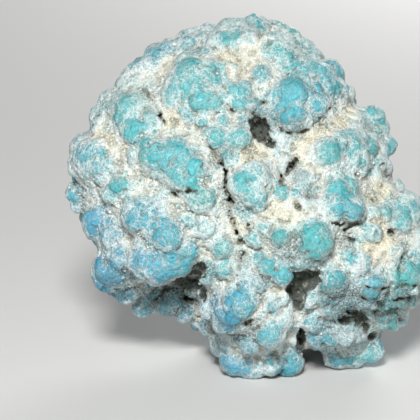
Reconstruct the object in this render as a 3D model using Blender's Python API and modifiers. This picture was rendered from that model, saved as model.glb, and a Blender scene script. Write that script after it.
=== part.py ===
"""A botryoidal turquoise nodule: one loose stone, about nine centimetres across, made of rounded
lobes that grew into each other.

The front is laid out as the eye sees it, on a grid of picture pixels that runs right and down, with a
third number that counts nearness, in the same unit. seen_point turns such a place into metres.
The frame is +Z up with the origin under the middle of the stone, on the surface that it rests on, and
the front faces -Y.
"""

import bisect
import functools
import math
import random

import bmesh
import bpy
from mathutils import Matrix, Vector

# Driving dimensions, in metres and radians
STONE_WIDTH = 0.0890
STONE_FRONT = 0.0264
STONE_BACK = 0.0283
EYE_DISTANCE = 0.70
EYE_TILT = math.radians(15)
EYE_TARGET = Vector((-0.0104, -0.0020, 0.0373))

# The picture that the front is laid out on, in pixels
PICTURE_LEFT = 68
PICTURE_RIGHT = 441
EYE_PIXEL = (210, 210)
HEART = (248, 195)
PIXEL = STONE_WIDTH / (PICTURE_RIGHT - PICTURE_LEFT)

# How lobes sit on the core: the dome that they sit on is a little above the core itself
CORE_INSET = 0.0021
LOBE_SINK = 0.35
ROOT_REACH = 0.7
DOME_POWER = 2.2

# How fine the solid is, in metres
VOXEL = 0.0011
TRIANGLE_SHARE = 0.165

# The core's edge, clockwise from the left, as right and down on the picture
CORE_EDGE = [
    (80, 165), (84, 200), (96, 232), (104, 262), (118, 284), (140, 284), (165, 278), (192, 285),
    (212, 318), (222, 345), (240, 360), (262, 364), (285, 358), (303, 340), (325, 343), (345, 350),
    (366, 348), (378, 330), (396, 316), (410, 296), (424, 282), (428, 250), (420, 215), (402, 199),
    (384, 182), (381, 158), (378, 136), (364, 118), (350, 106), (342, 88), (330, 74), (310, 62),
    (292, 44), (270, 34), (250, 29), (222, 34), (195, 46), (168, 57), (140, 74), (118, 98),
    (104, 120), (88, 142),
]

# The lobes that show, as right, down, radius and how far each stands proud of the dome
TOP_RIM = {
    "left_end": (99, 116, 12, -6), "left_low": (108, 99, 13, -4), "left_round": (129, 77, 16, -2),
    "blue_bead": (154, 52, 12, -4), "ridge": (170, 54, 16, 0), "ridge_crest": (190, 45, 16, 0),
    "shoulder": (209, 38, 15, 0), "crown_left": (232, 37, 19, 4), "crown": (254, 31, 16, 2),
    "crown_right": (274, 34, 14, 0), "right_bead": (290, 39, 14, -2), "right_end": (304, 48, 13, -2),
}
UPPER_LEFT = {
    "cap": (189, 68, 16, 6), "middle": (186, 86, 20, 8), "lower": (203, 101, 16, 10),
    "right_cap": (213, 74, 15, 6), "right_low": (214, 102, 12, 8), "left": (175, 97, 14, 4),
    "bulk": (196, 84, 24, 4), "skirt_left": (188, 112, 10, 2), "skirt_right": (205, 114, 8, 2),
}
LEFT_SHOULDER = {
    "crescent": (118, 118, 15, 4), "belly": (135, 131, 15, 8), "bulk": (141, 114, 22, 4),
    "right": (152, 124, 14, 2), "upper": (124, 104, 14, 0), "green_band": (137, 91, 13, -2),
}
FAR_LEFT = {
    "upper": (87, 149, 17, 0), "inner": (103, 152, 14, 2), "outer": (84, 166, 15, 0),
    "grainy": (104, 168, 14, 0), "low_outer": (79, 193, 12, 0), "low_tip": (80, 204, 9, -2),
    "oval_left": (113, 193, 11, 4), "oval_right": (122, 186, 11, 4),
}
MIDDLE_LEFT = {
    "left_bulk": (158, 157, 18, 8), "right_bulk": (178, 156, 19, 6), "right_end": (194, 168, 13, 8),
    "green_bead": (138, 155, 10, 2), "underlip": (186, 179, 18, 6), "top": (151, 148, 12, 4),
    "pale_ball": (202, 199, 14, 6),
}
LOWER_LEFT = {
    "blue_left": (100, 223, 18, 4), "blue_tail": (113, 236, 13, 4), "big_upper": (140, 215, 19, 8),
    "big_lower": (168, 236, 17, 8), "big_bridge": (154, 222, 17, 4), "big_crown": (163, 206, 10, 0),
    "pair_left": (146, 261, 17, 6), "pair_right": (176, 263, 19, 4), "pair_under": (158, 272, 16, 6),
    "pair_outer": (122, 256, 14, 4), "corner": (112, 272, 21, 6), "corner_under": (127, 287, 17, 6),
    "pair_top": (186, 250, 11, 4),
}
SHADED_BEADS = {
    "first": (148, 294, 9, -8), "second": (142, 308, 9, -18), "third": (166, 302, 13, -8),
    "fourth": (184, 314, 9, -15), "fifth": (193, 290, 8, -2),
}
UPPER_MIDDLE = {
    "dark_bead": (232, 90, 8, 4), "pale_bead": (244, 91, 8, 4), "under_bead": (240, 104, 7, 3),
    "high_bead": (261, 75, 10, 2), "hollow_left": (250, 104, 8, 0), "hollow_right": (271, 96, 8, 0),
    "hollow_low": (275, 114, 8, -2), "saddle_left": (225, 67, 9, 0), "saddle": (232, 72, 8, 0),
    "twin_left": (216, 137, 12, 6), "twin_right": (239, 138, 12, 6), "pea": (202, 124, 7, 3),
    "pea_right": (222, 119, 7, 2), "lone": (229, 159, 9, 0),
}
UPPER_RIGHT = {
    "high": (299, 76, 20, 8), "blue": (293, 97, 19, 10), "arc": (280, 57, 16, 4),
    "front": (316, 105, 14, 8), "right": (335, 90, 13, 6), "right_high": (331, 72, 18, 2),
    "top": (312, 60, 16, 2), "low": (292, 116, 14, 6), "bulk": (315, 84, 22, 4),
    "edge": (348, 92, 10, -4), "skirt_left": (306, 120, 9, 4), "skirt_right": (327, 116, 9, 2),
}
RIGHT_SHOULDER = {
    "cap": (372, 119, 13, 0), "cap_low": (379, 128, 11, -4), "side": (386, 153, 9, -10),
    "side_low": (382, 168, 10, -8), "left_bulk": (327, 154, 17, 8), "left_top": (338, 144, 14, 6),
    "top": (353, 134, 12, 2), "right_top": (365, 146, 13, 4), "middle": (355, 162, 15, 6),
    "right": (373, 163, 13, 2), "left_low": (333, 168, 12, 2), "cream": (352, 122, 13, -2),
    "low": (370, 180, 12, -2), "teal_left": (336, 187, 11, 8), "teal_right": (348, 187, 11, 8),
    "ledge_right": (353, 213, 13, 10), "ledge_left": (335, 208, 14, 8), "ledge": (346, 206, 12, 8),
    "ledge_bead": (334, 221, 7, 6),
}
CENTRE = {
    "teal": (242, 184, 14, 8), "white_top": (254, 176, 16, 6), "low": (255, 193, 14, 8),
    "lowest": (260, 203, 10, 4), "round_bead": (282, 193, 7, 5), "small_bead": (296, 194, 7, 4),
    "pale_upper": (305, 180, 12, 0), "pale_lower": (310, 205, 12, 0), "pale_left": (288, 206, 9, 2),
    "bright": (315, 241, 17, 12), "bright_top": (313, 226, 14, 6), "green_low": (281, 237, 12, 4),
    "green_high": (264, 228, 10, 2), "cream_hump": (290, 222, 14, -2), "shade_right": (299, 259, 12, 2),
    "shade_left": (284, 253, 12, 0), "pale_small": (256, 240, 9, 0), "drop": (267, 267, 8, 4),
    "big_drop": (282, 274, 12, 6), "grey_patch": (256, 283, 11, 0), "teal_left": (222, 248, 11, 4),
    "pair_left": (208, 274, 11, 4), "pair_right": (224, 269, 9, 2), "pale_far": (206, 228, 12, 0),
    "pale_near": (190, 218, 10, 0), "rib": (242, 270, 10, -2),
}
RIGHT_FLANK = {
    "upper": (404, 208, 18, 0), "upper_low": (399, 222, 13, 2), "edge": (421, 214, 17, -6),
    "bead": (384, 212, 8, 0), "pink": (372, 214, 9, 2), "pale": (371, 232, 11, 2),
    "shelf": (394, 190, 12, -8), "shelf_in": (384, 196, 12, -6), "hump": (412, 236, 14, -2),
    "teal_edge": (418, 262, 20, 0), "teal_low": (406, 276, 15, 4), "far_edge": (427, 275, 13, -4),
    "fill": (390, 275, 14, 0), "blue": (370, 283, 17, 6), "blue_low": (366, 296, 12, 4),
    "ridge_left": (390, 298, 14, 0), "ridge_right": (410, 297, 12, -2), "cream": (387, 252, 16, -2),
    "cream_left": (358, 262, 14, 2), "cave_right": (333, 282, 15, 6), "cave_bead": (308, 299, 8, 2),
    "cave_lip": (322, 297, 9, 2), "slate": (345, 296, 12, 0), "slate_low": (330, 306, 11, 0),
    "slate_top": (352, 285, 11, 2), "hem_left": (384, 317, 13, -4), "hem": (402, 319, 12, -6),
    "hem_in": (368, 310, 9, -4),
}
FOOT = {
    "left": (212, 307, 13, 6), "left_low": (227, 323, 14, 8), "middle": (240, 302, 16, 8),
    "right": (270, 333, 15, 10), "bead": (249, 345, 8, 6), "bead_right": (290, 352, 10, 6),
    "upper": (272, 302, 10, 0), "pillar": (283, 294, 9, 2), "pocket": (262, 312, 10, 0),
    "pocket_right": (282, 318, 12, 2), "left_end": (210, 326, 11, 0), "grey_end": (221, 346, 11, 4),
    "gap_left": (296, 338, 9, 4), "bridge": (300, 320, 9, 0), "sole_left": (234, 359, 15, 18),
    "sole": (250, 364, 15, 20), "sole_right": (270, 362, 14, 20), "sole_end": (290, 362, 14, 14),
}
RIGHT_FOOT = {
    "blue": (318, 334, 14, 6), "top": (313, 320, 11, 2), "blue_right": (330, 336, 10, 2),
    "low_left": (338, 355, 14, -6), "low": (353, 353, 16, -13), "low_right": (370, 350, 14, -8),
    "arch": (345, 336, 10, -2),
}
# Lobes that don't show, as right, down, nearness and radius: two heels to stand on, and the keel that
# carries the shaded beads
HIDDEN_LOBES = {
    "left_heel": (231, 331, -80, 17), "right_heel": (332, 331, -80, 17), "heel_bridge": (282, 317, -88, 24),
    "left_ankle": (241, 311, -72, 32), "right_ankle": (322, 311, -72, 32), "arch": (282, 324, -40, 28),
    "keel_left": (156, 290, -42, 24), "keel_right": (184, 296, -40, 22), "keel_end": (206, 312, -34, 20),
    "toe_root": (352, 326, -22, 28), "hem_root": (384, 300, -26, 24),
}
# Hollows, as right, down, depth under the dome, and half widths right, down and inwards
HOLLOWS = {
    "upper_hole": (259, 128, 12, 8, 11, 20), "upper_tail": (268, 142, 8, 5, 8, 12),
    "lower_hole": (308, 280, 12, 15, 10, 26), "lower_tail": (297, 298, 8, 4, 10, 16),
    "right_pit": (362, 322, 0, 6, 6, 14), "foot_gap": (303, 341, 4, 4, 9, 16),
    "lip_shadow": (393, 232, 6, 8, 4, 8),
}

# The lobes of the back: how many tries, and the smallest and largest radius of each size
BACK_SEED = 11
BACK_SIZES = [(160, 20, 26), (900, 14, 19), (2500, 9, 13)]
BACK_SPACING = 0.78
BACK_EDGE = 0.10
RIM_ROOM = 9
REST_CLEARANCE = 0.0012

STONE_COLOUR = (0.30, 0.62, 0.66, 1.0)
STONE_ROUGHNESS = 0.62


def clear_scene():
    """Empties the scene, so that the script gives the same model each time."""
    for item in list(bpy.data.objects):
        bpy.data.objects.remove(item, do_unlink=True)


def new_collection(name):
    """Adds a collection to the scene."""
    collection = bpy.data.collections.new(name)
    bpy.context.scene.collection.children.link(collection)
    return collection


def new_object(name, mesh_builder, collection):
    """Makes an object from a bmesh and puts it in a collection."""
    mesh = bpy.data.meshes.new(name)
    mesh_builder.to_mesh(mesh)
    mesh_builder.free()
    item = bpy.data.objects.new(name, mesh)
    collection.objects.link(item)
    return item


def eye_axes():
    """Right, up and towards the eye, for an eye that looks down on the stone a little."""
    right = Vector((1, 0, 0))
    up = Vector((0, math.sin(EYE_TILT), math.cos(EYE_TILT)))
    towards = Vector((0, -math.cos(EYE_TILT), math.sin(EYE_TILT)))
    return right, up, towards


def seen_point(across, down, near):
    """The place in metres that shows at a picture point, near pixels in front of the middle plane."""
    right, up, towards = eye_axes()
    shrink = PIXEL * (1 - near * PIXEL / EYE_DISTANCE)
    offset = right * (across - EYE_PIXEL[0]) * shrink + up * (EYE_PIXEL[1] - down) * shrink
    return EYE_TARGET + offset + towards * near * PIXEL


@functools.cache
def edge_corners():
    """The core's edge as angles about the heart and distances from it, once round and a step more."""
    corners = []
    for across, down in CORE_EDGE:
        right, below = across - HEART[0], down - HEART[1]
        corners.append((math.atan2(below, right), math.hypot(right, below)))
    corners.sort()
    first, last = corners[0], corners[-1]
    return [(last[0] - math.tau, last[1]), *corners, (first[0] + math.tau, first[1])]


def core_radius(angle):
    """How far the core's edge is from the heart in a direction on the picture."""
    corners = edge_corners()
    after = bisect.bisect_left(corners, (angle, 0.0), lo=1, hi=len(corners) - 1)
    start, end = corners[after - 1], corners[after]
    share = (angle - start[0]) / (end[0] - start[0])
    return start[1] + share * (end[1] - start[1])


def dome_height(across, down):
    """How near the front of the core is at a picture point, in pixels."""
    right, below = across - HEART[0], down - HEART[1]
    reach = math.hypot(right, below) / core_radius(math.atan2(below, right))
    if reach >= 1:
        return 0.0
    return STONE_FRONT / PIXEL * (1 - reach**DOME_POWER) ** (1 / DOME_POWER)


def core_point(direction):
    """The core's surface in a direction: right, down and near, as a place on the picture."""
    flat = math.hypot(direction.x, direction.y)
    depth = abs(direction.z)
    size = (flat**DOME_POWER + depth**DOME_POWER) ** (-1 / DOME_POWER)
    angle = math.atan2(direction.y, direction.x)
    across = HEART[0] + core_radius(angle) * direction.x * size
    down = HEART[1] + core_radius(angle) * direction.y * size
    bulge = (STONE_FRONT if direction.z > 0 else STONE_BACK) - CORE_INSET
    return Vector((across, down, bulge / PIXEL * direction.z * size))


def front_lobes():
    """Every lobe that shows, as right, down, near and radius."""
    lobes = []
    groups = [TOP_RIM, UPPER_LEFT, LEFT_SHOULDER, FAR_LEFT, MIDDLE_LEFT, LOWER_LEFT, SHADED_BEADS,
              UPPER_MIDDLE, UPPER_RIGHT, RIGHT_SHOULDER, CENTRE, RIGHT_FLANK, FOOT, RIGHT_FOOT]
    for group in groups:
        for across, down, radius, proud in group.values():
            height = dome_height(across, down)
            sink = LOBE_SINK * radius if height > 0 else 0.0
            lobes.append((Vector((across, down, height - sink + proud)), radius))
    for across, down, near, radius in HIDDEN_LOBES.values():
        lobes.append((Vector((across, down, near)), radius))
    return lobes


def is_hidden(middle, radius):
    """Whether a lobe of the back stays behind the front's outline and clear of what the stone rests on."""
    right, below = middle.x - HEART[0], middle.y - HEART[1]
    outline = core_radius(math.atan2(below, right)) + RIM_ROOM
    lowest = seen_point(*middle).z - radius * PIXEL
    return math.hypot(right, below) + radius < outline and lowest > REST_CLEARANCE


def back_lobes(taken):
    """Lobes of mixed size over the back, the large ones first, each clear of the ones before it."""
    chance = random.Random(BACK_SEED)
    grown = []
    for tries, smallest, largest in BACK_SIZES:
        for _ in range(tries):
            direction = Vector((chance.gauss(0, 1), chance.gauss(0, 1), chance.gauss(0, 1))).normalized()
            radius = chance.uniform(smallest, largest)
            if direction.z > BACK_EDGE:
                continue
            middle = core_point(direction)
            clear = all(
                (middle - other).length > BACK_SPACING * (radius + size) for other, size in taken + grown
            )
            if clear and is_hidden(middle, radius):
                grown.append((middle, radius))
    return grown


def add_ball(mesh_builder, middle, radius):
    """A ball at a picture place, in a mesh that is being built."""
    place = Matrix.Translation(seen_point(*middle))
    bmesh.ops.create_icosphere(mesh_builder, subdivisions=3, radius=radius * PIXEL, matrix=place)


def add_lobe(mesh_builder, middle, radius):
    """A lobe: a ball, and its root, a second ball a little way towards the stone's heart."""
    add_ball(mesh_builder, middle, radius)
    inwards = (Vector((*HEART, 0)) - middle).normalized()
    add_ball(mesh_builder, middle + inwards * radius * ROOT_REACH, radius)


def add_core(mesh_builder):
    """The core: a ball whose points are moved out to the edge and the two bulges."""
    made = bmesh.ops.create_icosphere(mesh_builder, subdivisions=5, radius=1.0)
    for vertex in made["verts"]:
        vertex.co = seen_point(*core_point(vertex.co.normalized()))
    bmesh.ops.recalc_face_normals(mesh_builder, faces=mesh_builder.faces)


def make_hollow_cutter(collection):
    """The holes between the lobes, as stretched balls to cut with."""
    mesh_builder = bmesh.new()
    right, up, towards = eye_axes()
    turn = Matrix((right, up, towards)).transposed().to_4x4()
    for across, down, depth, half_across, half_down, half_in in HOLLOWS.values():
        middle = seen_point(across, down, dome_height(across, down) - depth)
        stretch = Matrix.Diagonal((half_across * PIXEL, half_down * PIXEL, half_in * PIXEL, 1))
        place = Matrix.Translation(middle) @ turn @ stretch
        bmesh.ops.create_icosphere(mesh_builder, subdivisions=3, radius=1.0, matrix=place)
    cutter = new_object("hollow_cutter", mesh_builder, collection)
    cutter.hide_render = True
    cutter.display_type = "WIRE"
    return cutter


def make_rest_cutter(collection):
    """A block whose top is the surface that the stone rests on; it rubs the lobes under it flat."""
    mesh_builder = bmesh.new()
    side = 2 * STONE_WIDTH
    place = Matrix.Translation((0, 0, -side / 2)) @ Matrix.Diagonal((side, side, side, 1))
    bmesh.ops.create_cube(mesh_builder, size=1.0, matrix=place)
    cutter = new_object("rest_cutter", mesh_builder, collection)
    cutter.hide_render = True
    cutter.display_type = "WIRE"
    return cutter


def turquoise_material():
    """Matt blue-green stone."""
    material = bpy.data.materials.new("turquoise")
    material.use_nodes = True
    shader = material.node_tree.nodes["Principled BSDF"]
    shader.inputs["Base Color"].default_value = STONE_COLOUR
    shader.inputs["Roughness"].default_value = STONE_ROUGHNESS
    shader.inputs["Metallic"].default_value = 0.0
    return material


def make_nodule(collection, cutters):
    """The stone: the core and its lobes melted into one body, hollowed, and rubbed flat where it stands."""
    mesh_builder = bmesh.new()
    add_core(mesh_builder)
    shown = front_lobes()
    for middle, radius in shown + back_lobes(shown):
        add_lobe(mesh_builder, middle, radius)
    nodule = new_object("turquoise_nodule", mesh_builder, collection)
    nodule.data.materials.append(turquoise_material())
    melt = nodule.modifiers.new("melt", "REMESH")
    melt.mode = "VOXEL"
    melt.voxel_size = VOXEL
    hollow = nodule.modifiers.new("hollow", "BOOLEAN")
    hollow.operation = "DIFFERENCE"
    hollow.object = make_hollow_cutter(cutters)
    even = nodule.modifiers.new("even", "REMESH")
    even.mode = "VOXEL"
    even.voxel_size = VOXEL
    thin = nodule.modifiers.new("thin", "DECIMATE")
    thin.ratio = TRIANGLE_SHARE
    rest = nodule.modifiers.new("rest", "BOOLEAN")
    rest.operation = "DIFFERENCE"
    rest.object = make_rest_cutter(cutters)
    return nodule


def main():
    """Builds the stone."""
    clear_scene()
    stone = new_collection("turquoise nodule")
    cutters = new_collection("cutters")
    make_nodule(stone, cutters)


main()
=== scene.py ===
# %% [markdown]
# # A botryoidal turquoise nodule
# Turquoise is a blue-green phosphate that water leaves behind in a rock. Where it has room it grows as
# small rounded lobes that meet and swallow each other, a habit that is called botryoidal, like a bunch
# of grapes. This stone is one loose piece, about nine centimetres across. Its round crowns are smooth and
# blue-green. A thin white rind covers the rest: it lies over the crowns as a fine net, thickens towards
# the valleys, and there it is rough and cream, with dirt in the cracks.
#
# The looks are built around the CAD frame, so the frame comes first.

# %% Open the frame
import math
import random

import bpy
import numpy as np
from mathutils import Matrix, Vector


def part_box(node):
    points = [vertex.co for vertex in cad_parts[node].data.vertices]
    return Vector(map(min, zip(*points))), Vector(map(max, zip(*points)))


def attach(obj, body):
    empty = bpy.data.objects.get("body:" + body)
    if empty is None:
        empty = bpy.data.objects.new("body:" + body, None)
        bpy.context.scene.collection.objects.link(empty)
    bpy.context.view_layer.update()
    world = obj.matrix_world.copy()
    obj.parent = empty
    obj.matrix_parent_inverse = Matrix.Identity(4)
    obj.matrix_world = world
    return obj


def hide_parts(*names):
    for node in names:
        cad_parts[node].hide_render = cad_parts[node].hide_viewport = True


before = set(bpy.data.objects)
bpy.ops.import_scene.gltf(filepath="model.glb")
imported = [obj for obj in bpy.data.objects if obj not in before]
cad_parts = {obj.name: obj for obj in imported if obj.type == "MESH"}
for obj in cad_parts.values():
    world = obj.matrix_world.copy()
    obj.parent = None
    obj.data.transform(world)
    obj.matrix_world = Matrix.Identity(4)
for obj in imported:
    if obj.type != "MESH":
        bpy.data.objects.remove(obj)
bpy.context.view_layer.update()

import openvdb
from mathutils import Vector

NODE = "turquoise_nodule"
STONE_LOW, STONE_HIGH = (np.array(corner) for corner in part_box(NODE))
print("stone box in mm:", np.round(STONE_LOW * 1000, 1), np.round(STONE_HIGH * 1000, 1))

# %% [markdown]
# ## Where things are
# The front of the stone was laid out on a grid of picture pixels that runs right and down, with a
# third number for nearness. The same rule as in the CAD turns such a place into metres, so a lobe that is
# named here lands where the CAD has it. It works on whole columns of numbers, which keeps the rest quick.

# %% Turn picture places into metres and back
STONE_WIDTH = 0.0890
STONE_FRONT = 0.0264
STONE_BACK = 0.0283
EYE_DISTANCE = 0.70
EYE_TILT = math.radians(15)
EYE_TARGET = np.array((-0.0104, -0.0020, 0.0373))
PICTURE_LEFT = 68
PICTURE_RIGHT = 441
EYE_PIXEL = (210, 210)
HEART = (248, 195)
PIXEL = STONE_WIDTH / (PICTURE_RIGHT - PICTURE_LEFT)

RIGHT = np.array((1.0, 0.0, 0.0))
UP = np.array((0.0, math.sin(EYE_TILT), math.cos(EYE_TILT)))
TOWARDS = np.array((0.0, -math.cos(EYE_TILT), math.sin(EYE_TILT)))


def seen_point(across, down, near):
    """The place in metres that shows at a picture point, near pixels in front of the middle plane."""
    across, down, near = (np.asarray(part, float)[..., None] for part in (across, down, near))
    shrink = PIXEL * (1 - near * PIXEL / EYE_DISTANCE)
    offset = RIGHT * (across - EYE_PIXEL[0]) * shrink + UP * (EYE_PIXEL[1] - down) * shrink
    return EYE_TARGET + offset + TOWARDS * near * PIXEL


def picture_place(points):
    """The other way round: across, down and near for an array of points in metres."""
    offset = points - EYE_TARGET
    near = offset @ TOWARDS / PIXEL
    shrink = PIXEL * (1 - near * PIXEL / EYE_DISTANCE)
    return EYE_PIXEL[0] + offset @ RIGHT / shrink, EYE_PIXEL[1] - offset @ UP / shrink, near


print("one picture pixel is", round(PIXEL * 1000, 4), "mm")

# %% [markdown]
# ## The lobes
# Each lobe that shows has a name and four numbers: how far right and down its middle is, its radius, and
# how far it stands proud of the dome that the whole stone follows. These are the CAD's own lobes, with
# about twenty of them moved by a few pixels to follow the outline more closely.

# %% Lobes of the upper half
CORE_EDGE = [
    (80, 165), (84, 200), (96, 232), (104, 262), (118, 284), (140, 284), (165, 278), (192, 285),
    (212, 318), (222, 345), (240, 360), (262, 364), (285, 358), (303, 340), (325, 343), (345, 350),
    (366, 348), (378, 330), (396, 316), (410, 296), (424, 282), (428, 250), (420, 215), (402, 199),
    (384, 182), (381, 158), (378, 136), (364, 118), (350, 106), (342, 88), (330, 74), (310, 62),
    (292, 44), (270, 34), (250, 29), (222, 34), (195, 46), (168, 57), (140, 74), (118, 98),
    (104, 120), (88, 142),
]
TOP_RIM = {
    "left_end": (101, 118, 12, -6), "left_low": (112, 102, 13, -4), "left_round": (134, 82, 15, -2),
    "blue_bead": (156, 55, 12, -4), "ridge": (171, 56, 16, 0), "ridge_crest": (190, 45, 16, 0),
    "shoulder": (209, 38, 15, 0), "crown_left": (232, 37, 19, 4), "crown": (254, 31, 16, 2),
    "crown_right": (274, 34, 14, 0), "right_bead": (289, 40, 13, -2), "right_end": (303, 50, 12, -2),
}
UPPER_LEFT = {
    "cap": (189, 68, 16, 6), "middle": (186, 86, 20, 8), "lower": (203, 101, 16, 10),
    "right_cap": (213, 74, 15, 6), "right_low": (214, 102, 12, 8), "left": (175, 97, 14, 4),
    "bulk": (196, 84, 24, 4), "skirt_left": (188, 112, 10, 2), "skirt_right": (205, 114, 8, 2),
}
LEFT_SHOULDER = {
    "crescent": (122, 114, 14, 5), "belly": (136, 131, 15, 8), "bulk": (136, 115, 23, 4),
    "right": (152, 124, 14, 2), "upper": (125, 104, 14, 5), "green_band": (137, 91, 13, -2),
}
FAR_LEFT = {
    "upper": (87, 149, 17, 0), "inner": (103, 152, 14, 2), "outer": (84, 166, 15, 0),
    "grainy": (104, 168, 14, 0), "low_outer": (79, 193, 12, 0), "low_tip": (80, 204, 9, -2),
    "oval_left": (113, 193, 11, 4), "oval_right": (122, 186, 11, 4),
}
UPPER_MIDDLE = {
    "dark_bead": (232, 90, 8, 4), "pale_bead": (244, 91, 8, 4), "under_bead": (240, 104, 7, 3),
    "high_bead": (261, 75, 10, 2), "hollow_left": (250, 104, 8, 0), "hollow_right": (271, 96, 8, 0),
    "hollow_low": (275, 114, 8, -2), "saddle_left": (225, 67, 9, 0), "saddle": (232, 72, 8, 0),
    "twin_left": (216, 137, 12, 6), "twin_right": (239, 138, 12, 6), "pea": (202, 124, 7, 3),
    "pea_right": (222, 119, 7, 2), "lone": (229, 159, 9, 0),
}
UPPER_RIGHT = {
    "high": (299, 76, 20, 8), "blue": (293, 97, 19, 10), "arc": (280, 57, 16, 4),
    "front": (316, 105, 14, 8), "right": (335, 90, 13, 6), "right_high": (329, 76, 16, 3),
    "top": (311, 63, 15, 2), "low": (292, 116, 14, 6), "bulk": (315, 84, 22, 4),
    "edge": (346, 94, 9, -4), "skirt_left": (306, 120, 9, 4), "skirt_right": (327, 116, 9, 2),
}
RIGHT_SHOULDER = {
    "cap": (372, 119, 13, 0), "cap_low": (379, 128, 11, -4), "side": (387, 146, 9, -8),
    "side_low": (382, 168, 10, -8), "left_bulk": (327, 154, 17, 8), "left_top": (338, 144, 14, 6),
    "top": (353, 134, 12, 2), "right_top": (365, 146, 13, 4), "middle": (355, 162, 15, 6),
    "right": (373, 163, 13, 2), "left_low": (333, 168, 12, 2), "cream": (352, 122, 13, -2),
    "low": (370, 180, 12, -2), "teal_left": (336, 187, 11, 8), "teal_right": (348, 187, 11, 8),
    "ledge_right": (353, 213, 13, 10), "ledge_left": (335, 208, 14, 8), "ledge": (346, 206, 12, 8),
    "ledge_bead": (334, 221, 7, 6),
}

# %% Lobes of the lower half
MIDDLE_LEFT = {
    "left_bulk": (158, 157, 18, 8), "right_bulk": (178, 156, 19, 6), "right_end": (194, 168, 13, 8),
    "green_bead": (138, 155, 10, 2), "underlip": (186, 179, 18, 6), "top": (151, 148, 12, 4),
    "pale_ball": (202, 199, 14, 6),
}
LOWER_LEFT = {
    "blue_left": (100, 223, 18, 4), "blue_tail": (113, 236, 13, 4), "big_upper": (140, 215, 19, 8),
    "big_lower": (168, 236, 17, 8), "big_bridge": (154, 222, 17, 4), "big_crown": (163, 206, 10, 0),
    "pair_left": (146, 260, 17, 6), "pair_right": (176, 259, 18, 5), "pair_under": (158, 271, 15, 6),
    "pair_outer": (122, 256, 14, 4), "corner": (112, 272, 21, 6), "corner_under": (127, 287, 17, 6),
    "pair_top": (186, 250, 11, 4),
}
SHADED_BEADS = {
    "first": (147, 295, 9, -8), "second": (142, 308, 9, -18), "third": (168, 304, 11, -8),
    "fourth": (184, 314, 9, -15), "fifth": (193, 290, 8, -2),
}
CENTRE = {
    "teal": (242, 184, 14, 8), "white_top": (254, 176, 16, 6), "low": (255, 193, 14, 8),
    "lowest": (260, 203, 10, 4), "round_bead": (282, 193, 7, 5), "small_bead": (296, 194, 7, 4),
    "pale_upper": (305, 180, 12, 0), "pale_lower": (310, 205, 12, 0), "pale_left": (288, 206, 9, 2),
    "bright": (315, 241, 17, 12), "bright_top": (313, 226, 14, 6), "green_low": (281, 237, 12, 4),
    "green_high": (264, 228, 10, 2), "cream_hump": (290, 222, 14, -2), "shade_right": (299, 259, 12, 2),
    "shade_left": (284, 253, 12, 0), "pale_small": (256, 240, 9, 0), "drop": (267, 267, 8, 4),
    "big_drop": (282, 274, 12, 6), "grey_patch": (256, 283, 11, 0), "teal_left": (222, 248, 11, 4),
    "pair_left": (208, 274, 11, 4), "pair_right": (224, 269, 9, 2), "pale_far": (206, 228, 12, 0),
    "pale_near": (190, 218, 10, 0), "rib": (242, 270, 10, -2),
}
RIGHT_FLANK = {
    "upper": (404, 208, 18, 0), "upper_low": (399, 222, 13, 2), "edge": (421, 214, 17, -6),
    "bead": (384, 212, 8, 0), "pink": (372, 214, 9, 2), "pale": (371, 232, 11, 2),
    "shelf": (394, 190, 12, -8), "shelf_in": (384, 196, 12, -6), "hump": (412, 236, 14, -2),
    "teal_edge": (418, 262, 20, 0), "teal_low": (406, 276, 15, 4), "far_edge": (427, 275, 13, -4),
    "fill": (390, 275, 14, 0), "blue": (370, 283, 17, 6), "blue_low": (366, 296, 12, 4),
    "ridge_left": (390, 298, 14, 0), "ridge_right": (410, 297, 12, -2), "cream": (387, 252, 16, -2),
    "cream_left": (358, 262, 14, 2), "cave_right": (333, 282, 15, 6), "cave_bead": (308, 299, 8, 2),
    "cave_lip": (322, 297, 9, 2), "slate": (345, 296, 12, 0), "slate_low": (330, 306, 11, 0),
    "slate_top": (352, 285, 11, 2), "hem_left": (384, 317, 13, -4), "hem": (398, 316, 11, -4),
    "hem_in": (368, 310, 9, -4),
}
FOOT = {
    "left": (212, 307, 13, 6), "left_low": (227, 323, 14, 8), "middle": (240, 302, 16, 8),
    "right": (270, 333, 15, 10), "bead": (249, 345, 8, 6), "bead_right": (290, 352, 10, 6),
    "upper": (272, 302, 10, 0), "pillar": (283, 294, 9, 2), "pocket": (262, 312, 10, 0),
    "pocket_right": (282, 318, 12, 2), "left_end": (210, 326, 11, 0), "grey_end": (221, 346, 11, 4),
    "gap_left": (296, 338, 9, 4), "bridge": (300, 320, 9, 0), "sole_left": (234, 359, 15, 18),
    "sole": (250, 364, 15, 20), "sole_right": (270, 362, 14, 20), "sole_end": (290, 362, 14, 14),
}
RIGHT_FOOT = {
    "blue": (318, 334, 14, 6), "top": (313, 320, 11, 2), "blue_right": (330, 336, 10, 2),
    "low_left": (338, 355, 14, -6), "low": (353, 353, 16, -13), "low_right": (370, 350, 14, -8),
    "arch": (345, 336, 10, -2),
}
SHOWN_GROUPS = [TOP_RIM, UPPER_LEFT, LEFT_SHOULDER, FAR_LEFT, MIDDLE_LEFT, LOWER_LEFT, SHADED_BEADS,
                UPPER_MIDDLE, UPPER_RIGHT, RIGHT_SHOULDER, CENTRE, RIGHT_FLANK, FOOT, RIGHT_FOOT]
print(sum(len(group) for group in SHOWN_GROUPS), "lobes show")

# %% [markdown]
# Between some of the lobes the stone is fuller than a row of balls, so the look gets a few broad, low
# fillers that the CAD doesn't have. They close the notches of the upper left outline and join the parts
# of the largest lobes.

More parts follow.
